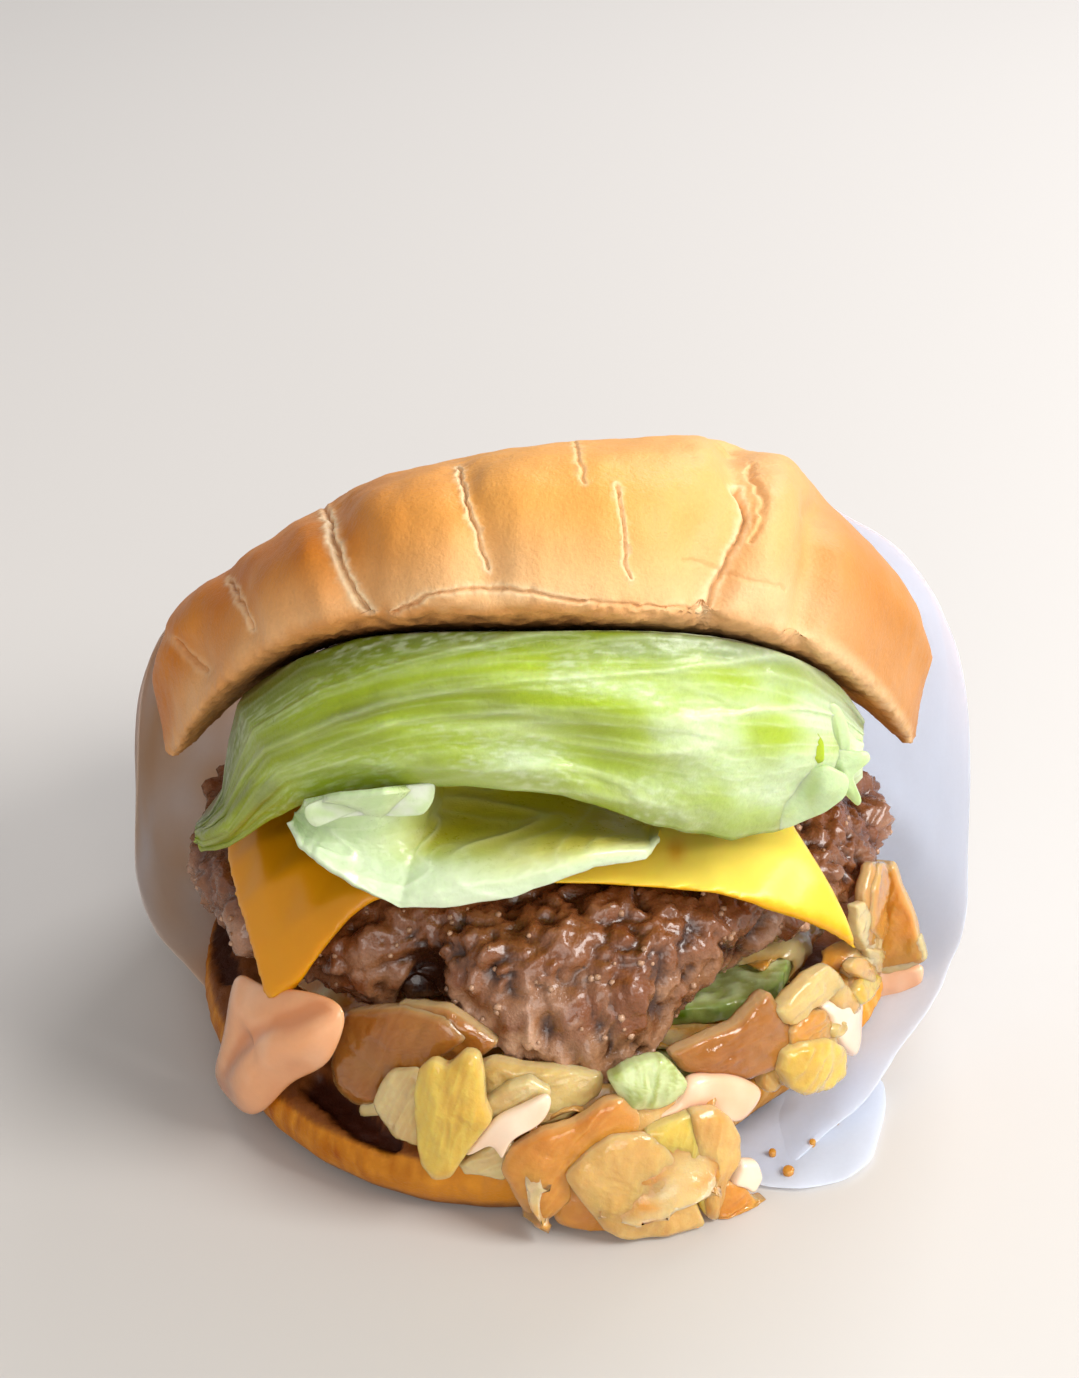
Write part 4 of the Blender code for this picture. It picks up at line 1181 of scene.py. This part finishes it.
# Painted shade in the low gaps between lumps and in the notch between the lobes.
gap_share = np.clip(rise(0.4, -0.6, swell) + 0.7 * notch, 0.0, 1.0)
meat_tone = blended(tone(MEAT_TAN), tone(MEAT_LIGHT), light_share)
meat_tone = blended(meat_tone, tone(MEAT_SEARED), seared_share)
meat_tone = blended(meat_tone, tone(MEAT_GAP), gap_share)
# Darker towards the shaded left: painted shade.
meat_tone = blended(meat_tone, tone(MEAT_SEARED), rise(-12.0, -40.0, meat_points[:, 0]) * 0.45)
paint(patty.data, meat_tone)
mince = food_material(
    "minced_beef", blotches=420.0, flecks=1500.0, uneven=0.36, dullness=0.26, relief=0.4, soft=0.05,
    soft_reach=(1.0, 0.4, 0.25), wet=0.6,
)
meat_grain = grain_ball("meat_grain", 5)
patty_front = rise(0.2, -0.2, meat_normals[:, 1]) * (1.0 - under_cheese) * rise(-0.6, 0.2, swell)
grains = strewn_over(patty, patty_front, meat_grain, LOOSE_GRAINS, LOOSE_SIZE, 3, mince)
bpy.data.objects.remove(meat_grain)
grain_share = 0.5 + 0.5 * hills(points_of(grains), 1.6, seed=125)
if "paint" in grains.attributes:
    grains.attributes.remove(grains.attributes["paint"])
paint(grains, blended(tone(MEAT_TAN) * 0.8, tone(MEAT_LIGHT), grain_share))
add_mesh(patty, grains)
finish_piece(patty, mince, "patty", "patty")


# Cheese
# One square slice of processed cheddar laid on the hot patty: it has softened, bent over the edge
# and sagged to a corner on either side.
CHEESE_VOXEL = 0.66
CHEESE_GOLD = (246, 182, 18)
CHEESE_LIGHT = (250, 222, 92)
CHEESE_DEEP = (224, 148, 4)
# A darker spot where the patty shows through: picture point and half sizes.
CHEESE_SPOT = (676.0, 850.0, 9.0, 12.0)
# The room beyond the slice's front edge and its right side, in picture points, and how deep it is.
CHEESE_OFF = (
    (296, 1030), (300, 984), (312, 964), (330, 940), (350, 918), (374, 901), (410, 892), (470, 886),
    (540, 882), (600, 882), (660, 887), (715, 894), (755, 906), (790, 930), (815, 954), (834, 976),
    (848, 992), (870, 990), (862, 958), (847, 920), (830, 888), (812, 858), (797, 832), (784, 806),
    (776, 780), (778, 740), (960, 740), (960, 1030),
)
CHEESE_OFF_DEEP = (-70.0, 60.0)


def sight_block(name, outline, near_y, far_y):
    """A block whose sides run along the sight lines through picture points."""
    corners = np.asarray(outline, float)
    count = len(corners)
    ends = [on_wall(corners[:, 0], corners[:, 1], np.full(count, wall_y)) for wall_y in (near_y, far_y)]
    faces = [tuple(range(count)), tuple(range(2 * count - 1, count - 1, -1))]
    for k in range(count):
        nxt = (k + 1) % count
        faces.append((k, count + k, count + nxt, nxt))
    return object_for(name, mesh_from(name, np.vstack(ends), faces))


cheese = merged_copy("cheese", "cheese_slice")
beyond = sight_block("beyond_cheese", CHEESE_OFF, *CHEESE_OFF_DEEP)
trim = cheese.modifiers.new("trim", "BOOLEAN")
trim.operation = "DIFFERENCE"
trim.solver = "EXACT"
trim.object = beyond
remeshed(cheese, CHEESE_VOXEL, 10)
bpy.data.objects.remove(beyond)
cheese_points = points_of(cheese.data)
slump = np.stack([hills(cheese_points, 16.0, seed=130 + k) for k in range(3)], -1)
cheese_points += slump * (0.4, 0.4, 0.6)
move_points(cheese.data, cheese_points)
cheese_normals = normals_of(cheese.data)
# Deeper orange on the shaded left and lighter where its top faces up on the lit right: painted shade and
# painted light.
lit_share = rise(-30.0, 20.0, cheese_points[:, 0])
cheese_tone = blended(tone(CHEESE_DEEP), tone(CHEESE_GOLD), lit_share)
cheese_tone = blended(cheese_tone, tone(CHEESE_LIGHT), lit_share * rise(0.2, 0.8, cheese_normals[:, 2]))
px, py = seen_at(cheese_points)
spot_x, spot_y, spot_wide, spot_high = CHEESE_SPOT
spot_share = 0.7 * hump(px, spot_x, spot_wide) * hump(py, spot_y, spot_high)
cheese_tone = blended(cheese_tone, tone(CHEESE_DEEP), spot_share)
paint(cheese.data, cheese_tone)
cheddar = food_material(
    "processed_cheese", blotches=120.0, flecks=700.0, uneven=0.05, dullness=0.34, relief=0.04,
    soft=0.4, soft_reach=(1.4, 0.7, 0.08), wet=0.12,
)
finish_piece(cheese, cheddar, "cheese", "cheese")


# Lettuce
# Two leaves of iceberg: a pale inner one, cupped on the cheese with its near edge turned up, and a
# greener one that bulges out in front and runs back under the top bun. Veins run along both.
# The top bun's underside, which the leaves stay below: height in the middle, how far its lip hangs,
# how it slopes back, and how its ends bend down: how far, at which x and with what power.
CUT = dict(middle_z=66.3, lip=5.0, slope=0.49, centre_y=2.0, bend=19.0, bend_at=47.0, right=3.4, left=3.8)
GREEN_DEEP = (132, 144, 4)
GREEN_DARK = (70, 78, 4)
GREEN_FRESH = (166, 190, 36)
GREEN_PALE = (194, 214, 162)
LEAF_OLIVE = (218, 202, 34)
GREEN_WHITE = (236, 246, 220)
# The green leaf's lower and upper edge in picture points, from its left end to its right.
UPPER_LOW = (
    (196, 840), (203, 851), (230, 846), (272, 818), (304, 802), (387, 789), (437, 784), (501, 786),
    (561, 793), (607, 807), (644, 821), (685, 831), (731, 838), (772, 831), (809, 815), (841, 793),
    (860, 776),
)
UPPER_HIGH = (
    (198, 826), (214, 812), (226, 790), (232, 742), (240, 706), (300, 660), (360, 640), (430, 628),
    (500, 620), (570, 616), (640, 614), (700, 616), (740, 626), (775, 640), (806, 660), (838, 690),
    (862, 722),
)
# The wall that the green leaf's front follows: its y in the middle, how far it turns back, at which
# x and with what power. How far the front bulges, and the leaf's share that is front.
UPPER_WALL = (-42.5, 26.0, 46.0, 2.4)
UPPER_BULGE = 5.5
UPPER_SHARE = 0.68
# The pale leaf's outer edge, and the line where it goes in under the green one.
LOWER_LOW = (
    (290, 823), (300, 845), (318, 862), (354, 886), (400, 907), (442, 907), (511, 897), (556, 880),
    (593, 866), (644, 859), (656, 842),
)
LOWER_HIGH = (
    (304, 803), (330, 798), (362, 794), (395, 790), (432, 785), (440, 772), (500, 768), (560, 772),
    (600, 784), (640, 800), (662, 822),
)
# Torn pieces at the green leaf's right end: outline in picture points, y of the wall that they lie
# on, thickness and colour.
LEAF_BITS = (
    (
        (
            (824, 706), (832, 702), (840, 708), (847, 722), (851, 742), (848, 762), (838, 768),
            (832, 752), (828, 730),
        ),
        -33.0, 0.9, GREEN_PALE,
    ),
    (
        (
            (838, 748), (852, 752), (868, 752), (872, 760), (858, 768), (852, 775), (862, 799),
            (858, 806), (846, 794), (832, 778), (826, 760),
        ),
        -33.5, 1.2, GREEN_PALE,
    ),
    (
        (
            (800, 772), (826, 762), (850, 776), (846, 794), (825, 811), (792, 828), (760, 832),
            (776, 796),
        ),
        -36.5, 1.0, GREEN_PALE,
    ),
    (((792, 730), (812, 724), (824, 742), (824, 760), (806, 764), (794, 752)), -36.0, 0.8, GREEN_FRESH),
)
# How often the way a leaf faces is evened out, so that its two faces never cross at a sharp vein.
LEAF_EVEN = 8


def spread_line(line, shares):
    """Points of a line of picture points at even shares of its count of corners."""
    corners = np.asarray(line, float)
    steps = np.linspace(0.0, 1.0, len(corners))
    return np.interp(shares, steps, corners[:, 0]), np.interp(shares, steps, corners[:, 1])


def bun_cut(x, y):
    """Height of the top bun's underside."""
    strength = np.where(x > 0.0, CUT["right"], CUT["left"])
    bend = CUT["bend"] * (np.abs(x) / CUT["bend_at"]) ** strength
    return CUT["middle_z"] - CUT["lip"] - CUT["slope"] * (y - CUT["centre_y"]) - bend


def leaf_mesh(name, middle, rows, columns, thickness):
    """A closed thin leaf from a grid of points: both faces follow the same middle and split alike."""
    grid = middle.reshape(rows, columns, 3)
    along = np.gradient(grid, axis=1)
    up = np.gradient(grid, axis=0)
    normal = np.cross(along, up)
    normal /= np.maximum(np.linalg.norm(normal, axis=2), 1e-6)[:, :, None]
    for _ in range(LEAF_EVEN):
        wide = np.pad(normal, ((1, 1), (1, 1), (0, 0)), mode="edge")
        normal = (wide[:-2, 1:-1] + wide[2:, 1:-1] + wide[1:-1, :-2] + wide[1:-1, 2:] + normal) / 5.0
    normal /= np.maximum(np.linalg.norm(normal, axis=2), 1e-6)[:, :, None]
    half = thickness.reshape(rows, columns, 1) / 2.0
    points = np.vstack([(grid + normal * half).reshape(-1, 3), (grid - normal * half).reshape(-1, 3)])
    back = rows * columns
    faces = []
    for i in range(rows - 1):
        for k in range(columns - 1):
            a = i * columns + k
            faces.append((a, a + 1, a + columns + 1, a + columns))
            faces.append((back + a, back + a + columns, back + a + columns + 1, back + a + 1))
    rim = list(range(columns))
    rim += [i * columns + columns - 1 for i in range(1, rows)]
    rim += [(rows - 1) * columns + k for k in range(columns - 2, -1, -1)]
    rim += [i * columns for i in range(rows - 2, 0, -1)]
    for here, there in zip(rim, rim[1:] + rim[:1]):
        faces.append((here, back + here, back + there, there))
    return mesh_from(name, points, faces)


def leaf_grid(rows, columns):
    """Shares along and up a leaf, one for each grid point."""
    v, u = np.meshgrid(np.linspace(0.0, 1.0, rows), np.linspace(0.0, 1.0, columns), indexing="ij")
    return u.ravel(), v.ravel()


def flat_noise(u, v, wide, high, seed, octaves=1):
    """Smooth random hills over a leaf, so many along it and so many up it."""
    return hills(np.stack([u * wide, v * high, np.zeros(len(u))], -1), 1.0, seed=seed, octaves=octaves)


def leaf_veins(u, v, seed, lengthwise, crosswise):
    """Raised veins along a leaf: a few strong ones and many fine ones, each from 0 to 1."""
    wander = 0.35 * flat_noise(u, v, 4.0, 2.0, seed)
    main = 1.0 - np.abs(flat_noise(u, v * crosswise + wander, lengthwise, 1.0, seed + 1)) * 2.2
    fine_u = u + 0.05 * wander
    fine_v = v * crosswise * 3.2 + 2.0 * wander
    fine = 1.0 - np.abs(flat_noise(fine_u, fine_v, lengthwise * 2.2, 1.0, seed + 2)) * 2.2
    return np.clip(main, 0.0, 1.0) ** 6, np.clip(fine, 0.0, 1.0) ** 4


UPPER_ROWS, UPPER_COLUMNS = 130, 280
u, v = leaf_grid(UPPER_ROWS, UPPER_COLUMNS)
front = np.clip(v / UPPER_SHARE, 0.0, 1.0)
back = np.clip((v - UPPER_SHARE) / (1.0 - UPPER_SHARE), 0.0, 1.0)
low_x, low_y = spread_line(UPPER_LOW, u)
high_x, high_y = spread_line(UPPER_HIGH, u)
low_y = low_y + 2.5 * flat_noise(u, u, 26.0, 0.0, 140)
leaf_px = low_x + (high_x - low_x) * front ** 0.9
leaf_py = low_y + (high_y - low_y) * front ** 0.9
wall_y, wall_turn, wall_at, wall_power = UPPER_WALL


def upper_wall(px, share, u):
    """How far back the green leaf's front stands, at a picture place and share of its height."""
    bend = wall_turn * (np.abs((px - AIM_PX[0]) / LENS_PX * 300.0) / wall_at) ** wall_power
    ends = 1.0 - 0.4 * rise(0.7, 1.0, np.abs(2.0 * u - 1.0))
    bulge = UPPER_BULGE * np.sin(math.pi * np.clip(share * 0.85 + 0.08, 0.0, 1.0))
    return wall_y + bend - bulge * ends + 2.0 * share


main_vein, fine_vein = leaf_veins(u, front - 0.25 * u, 150, 2.0, 4.0)
ripple = 2.2 * flat_noise(u + 0.12 * front, front, 5.0, 2.2, 141)
ripple += 0.5 * flat_noise(u, front, 12.0, 7.0, 142)
crinkle = 0.12 * flat_noise(u, front, 44.0, 18.0, 143, octaves=3)
leaf_y = upper_wall(leaf_px, front, u) + ripple * rise(0.0, 0.12, front) + crinkle
band = on_wall(leaf_px, leaf_py, leaf_y - 0.4 * main_vein - 0.12 * fine_vein)
edge_x, edge_y = spread_line(UPPER_HIGH, u)
top_edge = on_wall(edge_x, edge_y, upper_wall(edge_x, np.ones(len(u)), u))
tucked = top_edge.copy()
tucked[:, 1] += back * (24.0 - 10.0 * np.abs(2.0 * u - 1.0) - top_edge[:, 1])
tucked[:, 0] *= 1.0 - 0.15 * back
tucked[:, 2] = np.minimum(top_edge[:, 2], bun_cut(tucked[:, 0], tucked[:, 1]) - 1.6)
tucked[:, 2] -= 1.5 * np.sin(math.pi * back)
leaf_middle = np.where((back > 0.0)[:, None], tucked, band)
leaf_middle[:, 2] = np.minimum(leaf_middle[:, 2], bun_cut(leaf_middle[:, 0], leaf_middle[:, 1]) - 1.0)
rim_thin = rise(0.04, 0.0, np.minimum(u, 1.0 - u)) + rise(0.03, 0.0, v)
leaf_thick = 0.85 + 0.35 * main_vein - 0.3 * np.minimum(rim_thin, 1.0)
upper_mesh = leaf_mesh("green_leaf", leaf_middle, UPPER_ROWS, UPPER_COLUMNS, leaf_thick)
blotch = flat_noise(u, front, 6.0, 3.0, 152, octaves=3)
cells = flat_noise(u, front, 70.0, 40.0, 153, octaves=2)
leaf_tone = blended(tone(GREEN_DEEP), tone(GREEN_FRESH), rise(0.05, 0.5, u + 0.25 * blotch))
leaf_tone = blended(leaf_tone, tone(GREEN_PALE), rise(0.45, 1.0, u + 0.4 * blotch))
# Dark green along the top, where the top bun shades it: painted shadow.
leaf_tone = blended(leaf_tone, tone(GREEN_DARK), rise(0.62, 0.98, front + 0.1 * blotch) * 0.75)
leaf_tone = blended(leaf_tone, tone(GREEN_DEEP), rise(0.2, 0.02, front) * 0.6)
# Dark green at the left end's upper part, under the top bun: painted shade.
leaf_tone = blended(leaf_tone, tone(GREEN_DARK), rise(0.4, 0.0, u) * rise(0.2, 0.8, front) * 0.6)
leaf_tone = blended(leaf_tone, tone(GREEN_DARK), rise(-0.1, -0.7, blotch) * (1.0 - u) * 0.5)
vein_share = np.clip(main_vein * 0.6 + fine_vein * 0.4, 0.0, 1.0) * (0.14 + 0.45 * u)
# Pale speckled cells in the middle of the leaf, where it is lit through: painted highlight.
cell_share = 0.28 * rise(-0.1, 0.5, cells) * rise(-0.2, 0.4, blotch) * (0.1 + hump(u, 0.5, 0.32))
leaf_tone = blended(leaf_tone, tone(GREEN_WHITE), vein_share)
leaf_tone = blended(leaf_tone, tone(GREEN_WHITE), cell_share)
paint(upper_mesh, np.vstack([leaf_tone, leaf_tone]))
green_leaf = object_for("green_leaf", upper_mesh)
for number, (outline, wall, thick, colour) in enumerate(LEAF_BITS):
    points, faces, seen, share, normal = slab(
        outline, lambda x, y: on_wall(x, y, np.full(len(x), wall)), thick, 0.8, around=40, rings=8,
    )
    points = points + normal * (1.1 * hills(points, 5.0, seed=155 + number))[:, None]
    bit = mesh_from("leaf_bit", points, faces)
    streak = hills(points * (1.0, 1.0, 0.4), 1.6, seed=160)
    paint(bit, blended(tone(colour), tone(GREEN_FRESH), 0.26 * rise(0.0, 0.8, streak)))
    add_mesh(green_leaf, bit)
leafy = food_material(
    "lettuce_green", blotches=260.0, flecks=1500.0, uneven=0.2, dullness=0.34, relief=0.16,
    soft=0.25, soft_reach=(0.5, 1.0, 0.1), wet=0.2,
)
finish_piece(green_leaf, leafy, "lettuce", "lettuce_upper")

LOWER_ROWS, LOWER_COLUMNS = 110, 200
# Where along the pale leaf it lies flat, and where it is turned up in full. The y of its edge.
LOWER_TURNED_UP = (0.56, 0.26)
LOWER_WALL = -47.0
LOWER_EDGE_TONE = (0.70, 0.76, 0.64)
# The leaf's edge that is folded over at the left: picture points, y of the wall where it hangs, how
# far that wall leans for each picture point, and how thick the fold is.
PALE_FLAP = (
    (304, 806), (330, 796), (380, 788), (436, 782), (434, 800), (424, 814), (400, 817), (360, 815),
    (330, 819), (316, 828), (305, 818),
)
PALE_FLAP_WALL = -43.4
PALE_FLAP_LEAN = -0.02
PALE_FLAP_THICK = 0.8

u, v = leaf_grid(LOWER_ROWS, LOWER_COLUMNS)
low_x, low_y = spread_line(LOWER_LOW, u)
high_x, high_y = spread_line(LOWER_HIGH, u)
low_y = low_y + 1.6 * flat_noise(u, u, 24.0, 0.0, 160)
turned_up = rise(*LOWER_TURNED_UP, u)
lip_wall = LOWER_WALL + 8.0 * np.abs(2.0 * u - 0.95) ** 2.4
inward = 26.0 * rise(0.1, 1.05, v) * (1.0 - turned_up) + (4.5 * np.sin(math.pi * v) - v) * turned_up
cup_y = lip_wall + inward + 0.5 * flat_noise(u, v, 5.0, 3.0, 161)
cup_y += 0.07 * flat_noise(u, v, 30.0, 16.0, 162, octaves=2)
cup = on_wall(low_x + (high_x - low_x) * v, low_y + (high_y - low_y) * v, cup_y)
cup_main, cup_fine = leaf_veins(v, u, 170, 1.6, 3.4)
cup[:, 2] += 0.16 * cup_main + 0.05 * cup_fine
cup_thick = 0.85 + 0.25 * cup_main - 0.2 * rise(0.05, 0.0, v)
lower_mesh = leaf_mesh("pale_leaf", cup, LOWER_ROWS, LOWER_COLUMNS, cup_thick)
blotch = flat_noise(u, v, 5.0, 4.0, 171, octaves=3)
edge_tone = tone(GREEN_WHITE) * LOWER_EDGE_TONE
fresh_share = rise(0.2, 0.6, v + 0.15 * blotch) * (1.0 - turned_up)
cup_tone = blended(edge_tone, tone(GREEN_PALE), rise(0.0, 0.6, v + 0.25 * blotch))
cup_tone = blended(cup_tone, tone(GREEN_FRESH) * 0.85, fresh_share)
# Olive further back, under the green leaf: painted shade.
cup_tone = blended(cup_tone, tone(LEAF_OLIVE), rise(0.25, 0.6, v) * (1.0 - turned_up) * 0.95)
# Olive yellow at the right, where the cheese lights it: painted reflection.
cup_tone = blended(cup_tone, tone(LEAF_OLIVE), rise(0.45, 0.8, u) * rise(0.05, 0.3, v) * 0.85)
cup_tone = blended(cup_tone, tone(GREEN_WHITE), np.clip(cup_main * 0.4 + cup_fine * 0.3, 0.0, 1.0) * 0.5)
paint(lower_mesh, np.vstack([cup_tone, cup_tone]))
pale_leaf = object_for("pale_leaf", lower_mesh)
points, faces, seen, share, normal = slab(
    PALE_FLAP, lambda x, y: on_wall(x, y, PALE_FLAP_WALL + PALE_FLAP_LEAN * (y - PALE_FLAP[0][1])),
    PALE_FLAP_THICK, 0.5, around=60, rings=10,
)
points = points + normal * (0.4 * hills(points, 7.0, seed=175))[:, None]
folded = mesh_from("pale_flap", points, faces)
streak = hills(points * (0.5, 1.0, 1.0), 1.8, seed=176, octaves=2)
paint(folded, blended(tone(GREEN_PALE), tone(GREEN_WHITE) * 0.8, rise(-0.4, 0.5, streak)))
add_mesh(pale_leaf, folded)
inner_leaf = food_material(
    "lettuce_pale", blotches=260.0, flecks=1500.0, uneven=0.12, dullness=0.3, relief=0.1,
    soft=0.35, soft_reach=(0.7, 1.0, 0.5), wet=0.25,
)
finish_piece(pale_leaf, inner_leaf, "lettuce", "lettuce_lower")


# Top bun
# The crown of a soft bun, tilted back and bent down over both sides: a thin baked skin that has
# folded and cracked where it was bent, with its cut rim toasted dark and ragged.
CROWN_VOXEL = 0.74
BAKED_GOLD = (228, 162, 82)
BAKED_DEEP = (188, 104, 4)
BAKED_AMBER = (186, 118, 48)
RIM_ORANGE = (192, 118, 34)
BUN_PALE = (232, 188, 136)
BUN_CRUMB = (250, 230, 190)
LIP_SHADE = (0.95, 0.82, 0.7)
CRACK_DARK = (120, 62, 18)
# Cracks: line in picture points, depth, half width in points and how torn.
CROWN_CRACKS = (
    (((322, 500), (328, 528), (338, 560), (350, 590), (368, 614)), 0.85, 2.2, 0.8),
    (((458, 466), (465, 495), (473, 520), (480, 545), (487, 570)), 0.6, 1.5, 0.6),
    (((573, 436), (578, 455), (584, 482)), 0.3, 1.5, 0.3),
    (((617, 486), (622, 510), (625, 535), (622, 560), (630, 578)), 0.45, 1.4, 0.5),
    (((742, 478), (749, 508), (742, 535), (725, 568), (711, 600), (704, 624)), 0.8, 2.2, 0.5),
    (((752, 462), (763, 490), (766, 514), (754, 540)), 0.5, 2.4, 0.1),
    (((228, 580), (234, 600), (246, 630)), 0.45, 1.6, 0.4),
    (((169, 640), (184, 656), (202, 670)), 0.5, 2.0, 0.2),
    (((392, 614), (412, 603), (440, 592), (490, 588), (530, 592), (560, 597), (584, 602)), 0.6, 1.8, 0.4),
    (((584, 602), (640, 607), (704, 608)), 0.35, 1.8, 0.1),
    (((690, 560), (730, 572), (780, 590)), 0.25, 2.4, 0.0),
)
# How near to a crack the mesh is cut finer, in picture points, once for each cut.
CRACK_REACH = (7.0, 3.0)
# Broad folds: line in picture points, depth and half width in points; a rise has a minus depth.
CROWN_FOLDS = (
    (((330, 500), (345, 560), (368, 614)), 0.9, 20.0),
    (((300, 530), (318, 590)), -0.5, 18.0),
    (((462, 468), (474, 520), (487, 570)), 0.5, 16.0),
    (((730, 440), (749, 508), (725, 568), (704, 624)), 2.0, 16.0),
    (((778, 456), (790, 520), (770, 600)), -0.9, 20.0),
    (((815, 512), (818, 560), (808, 620), (800, 642)), 1.8, 15.0),
    (((850, 560), (870, 640)), -0.5, 24.0),
    (((228, 575), (246, 630)), 0.9, 16.0),
    (((170, 640), (205, 668)), 0.8, 12.0),
    (((430, 618), (500, 612), (580, 616)), 0.5, 9.0),
)
# The ends of the top bun are blunt. For each: the x where this starts and where it is full, the
# heights where it starts and where it is full, and by how much the end is raised.
CROWN_ENDS = ((-40.0, -50.0, 50.0, 36.0, 6.0), (42.0, 50.0, 50.0, 40.0, 2.6))
# The dark toasted part of the rim, and the pale swollen lip at the right, in picture points across.
RIM_DARK = (250.0, 310.0, 560.0, 660.0)
RIM_PALE = (760.0, 800.0)


def refined(mesh, wanted):
    """Cuts the faces finer wherever both ends of an edge are wanted."""
    bm = bmesh.new()
    bm.from_mesh(mesh)
    bm.verts.ensure_lookup_table()
    edges = [edge for edge in bm.edges if wanted[edge.verts[0].index] and wanted[edge.verts[1].index]]
    bmesh.ops.subdivide_edges(bm, edges=edges, cuts=1, use_grid_fill=True)
    bmesh.ops.triangulate(bm, faces=[face for face in bm.faces if len(face.verts) > 4])
    bm.to_mesh(mesh)
    bm.free()


def near_cracks(points, normals, reach):
    """Whether each point lies within reach of a crack on the side that is seen."""
    px, py = seen_at(points)
    gap = np.full(len(points), 1e9)
    for line, depth, half, tear in CROWN_CRACKS:
        gap = np.minimum(gap, from_line(px, py, line) - 2.0 * half)
    return (gap < reach) & (facing_eye(normals) > 0.05)


crown = remeshed(merged_copy("crown", "top_bun"), CROWN_VOXEL, 10)
for reach in CRACK_REACH:
    refined(crown.data, near_cracks(points_of(crown.data), normals_of(crown.data), reach))
crown_points = points_of(crown.data)
crown_normals = normals_of(crown.data)
over_cut = crown_points[:, 2] - bun_cut(crown_points[:, 0], crown_points[:, 1] + 1.5)
skin = rise(-0.25, 0.15, crown_normals[:, 2] - 0.9 * crown_normals[:, 1])
facing = facing_eye(crown_normals)
px, py = seen_at(crown_points)
crack_x = px + 2.8 * hills(crown_points, 2.6, seed=180, octaves=3)
crack_y = py + 2.8 * hills(crown_points, 2.6, seed=181, octaves=3)
push = np.zeros(len(crown_points))
torn = np.zeros(len(crown_points))
split = np.zeros(len(crown_points))
for line, depth, half in CROWN_FOLDS:
    push -= depth * hump(from_line(px, py, line), 0.0, half) * facing
for line, depth, half, tear in CROWN_CRACKS:
    gap = from_line(crack_x, crack_y, line)
    push -= depth * hump(gap, 0.0, half) * facing
    push += 0.14 * tear * hump(gap, 2.2 * half, half) * facing
    torn = np.maximum(torn, tear * hump(gap, 1.6 * half, 1.6 * half) * facing)
    split = np.maximum(split, rise(0.0, 0.9, depth) * hump(gap, 0.0, 0.8 * half) * facing)
drawn = np.stack([crown_points[:, 0], crown_points[:, 1] * 0.6, crown_points[:, 2] * 0.3], -1)
push += 0.6 * hills(crown_points * (1.0, 0.6, 0.6), 12.0, seed=182, octaves=2) * skin * (0.3 + 0.7 * facing)
push += 0.14 * hills(drawn, 1.8, seed=183, octaves=2) * rise(13.0, 3.0, over_cut) * skin
push += 0.13 * hills(crown_points * (1.0, 0.5, 0.5), 2.6, seed=185, octaves=3) * skin
crumb = hills(crown_points, 1.3, seed=184, octaves=3)
push += 0.35 * crumb * np.maximum(torn, rise(0.3, -0.4, crown_normals[:, 2]))
in_paper = rise(34.0, 42.0, np.abs(crown_points[:, 0])) * rise(-12.0, 2.0, crown_points[:, 1])
in_paper = np.maximum(in_paper, rise(8.0, 24.0, crown_points[:, 1]))
push = push * (1.0 - 0.8 * in_paper) - 0.35 * in_paper
crown_points += crown_normals * push[:, None]
for end_from, end_full, end_top, end_low, end_by in CROWN_ENDS:
    at_end = rise(end_from, end_full, crown_points[:, 0])
    crown_points[:, 2] += end_by * at_end * rise(end_top, end_low, crown_points[:, 2])
move_points(crown.data, crown_points)
bake = 0.5 + 0.5 * hills(crown_points, 17.0, seed=186, octaves=3)
high = rise(3.0, 17.0, over_cut + 6.0 * (bake - 0.5))
right_side = rise(6.0, 30.0, crown_points[:, 0])
left_side = rise(2.0, -38.0, crown_points[:, 0])
# Paler on the lit right and deeper brown on the shaded left: painted light and painted shade, over the
# browner bake on its tops.
gold_share = np.clip(high * 0.85 + 0.15 - 0.5 * right_side, 0.0, 1.0)
deep_share = np.clip(left_side * (0.35 + 0.65 * high) * (0.6 + 0.6 * bake), 0.0, 1.0)
amber_share = rise(24.0, 42.0, crown_points[:, 0]) * (0.7 + 0.3 * bake)
crown_tone = blended(tone(BUN_PALE), tone(BAKED_GOLD), gold_share)
crown_tone = blended(crown_tone, tone(BAKED_DEEP), deep_share)
crown_tone = blended(crown_tone, tone(BAKED_AMBER), amber_share)
crown_tone = blended(crown_tone, tone(BUN_CRUMB), np.clip(torn, 0.0, 1.0) * 0.9)
# Darker down the middle of the deeper cracks: painted shade.
crown_tone = blended(crown_tone, tone(CRACK_DARK), np.clip(split, 0.0, 1.0) * 0.22)
ragged = over_cut + 1.1 * hills(crown_points, 2.6, seed=187, octaves=3)
dark_from, dark_full, dark_left, dark_to = RIM_DARK
dark_share = 0.35 + 0.65 * rise(dark_from, dark_full, px) * rise(dark_to, dark_left, px)
pale_lip = rise(*RIM_PALE, px) * rise(6.5, 3.5, over_cut) * facing
crown_tone = blended(crown_tone, tone(BUN_CRUMB) * LIP_SHADE, pale_lip * 0.7)
crown_tone = blended(crown_tone, tone(RIM_ORANGE), rise(5.2, 2.2, ragged) * (0.25 + 0.4 * dark_share))
crown_tone = blended(crown_tone, tone(TOAST_DARK), rise(2.6, 1.0, ragged) * dark_share * 0.7)
paint(crown.data, crown_tone)
finish_piece(crown, crust, "bun", "crown")
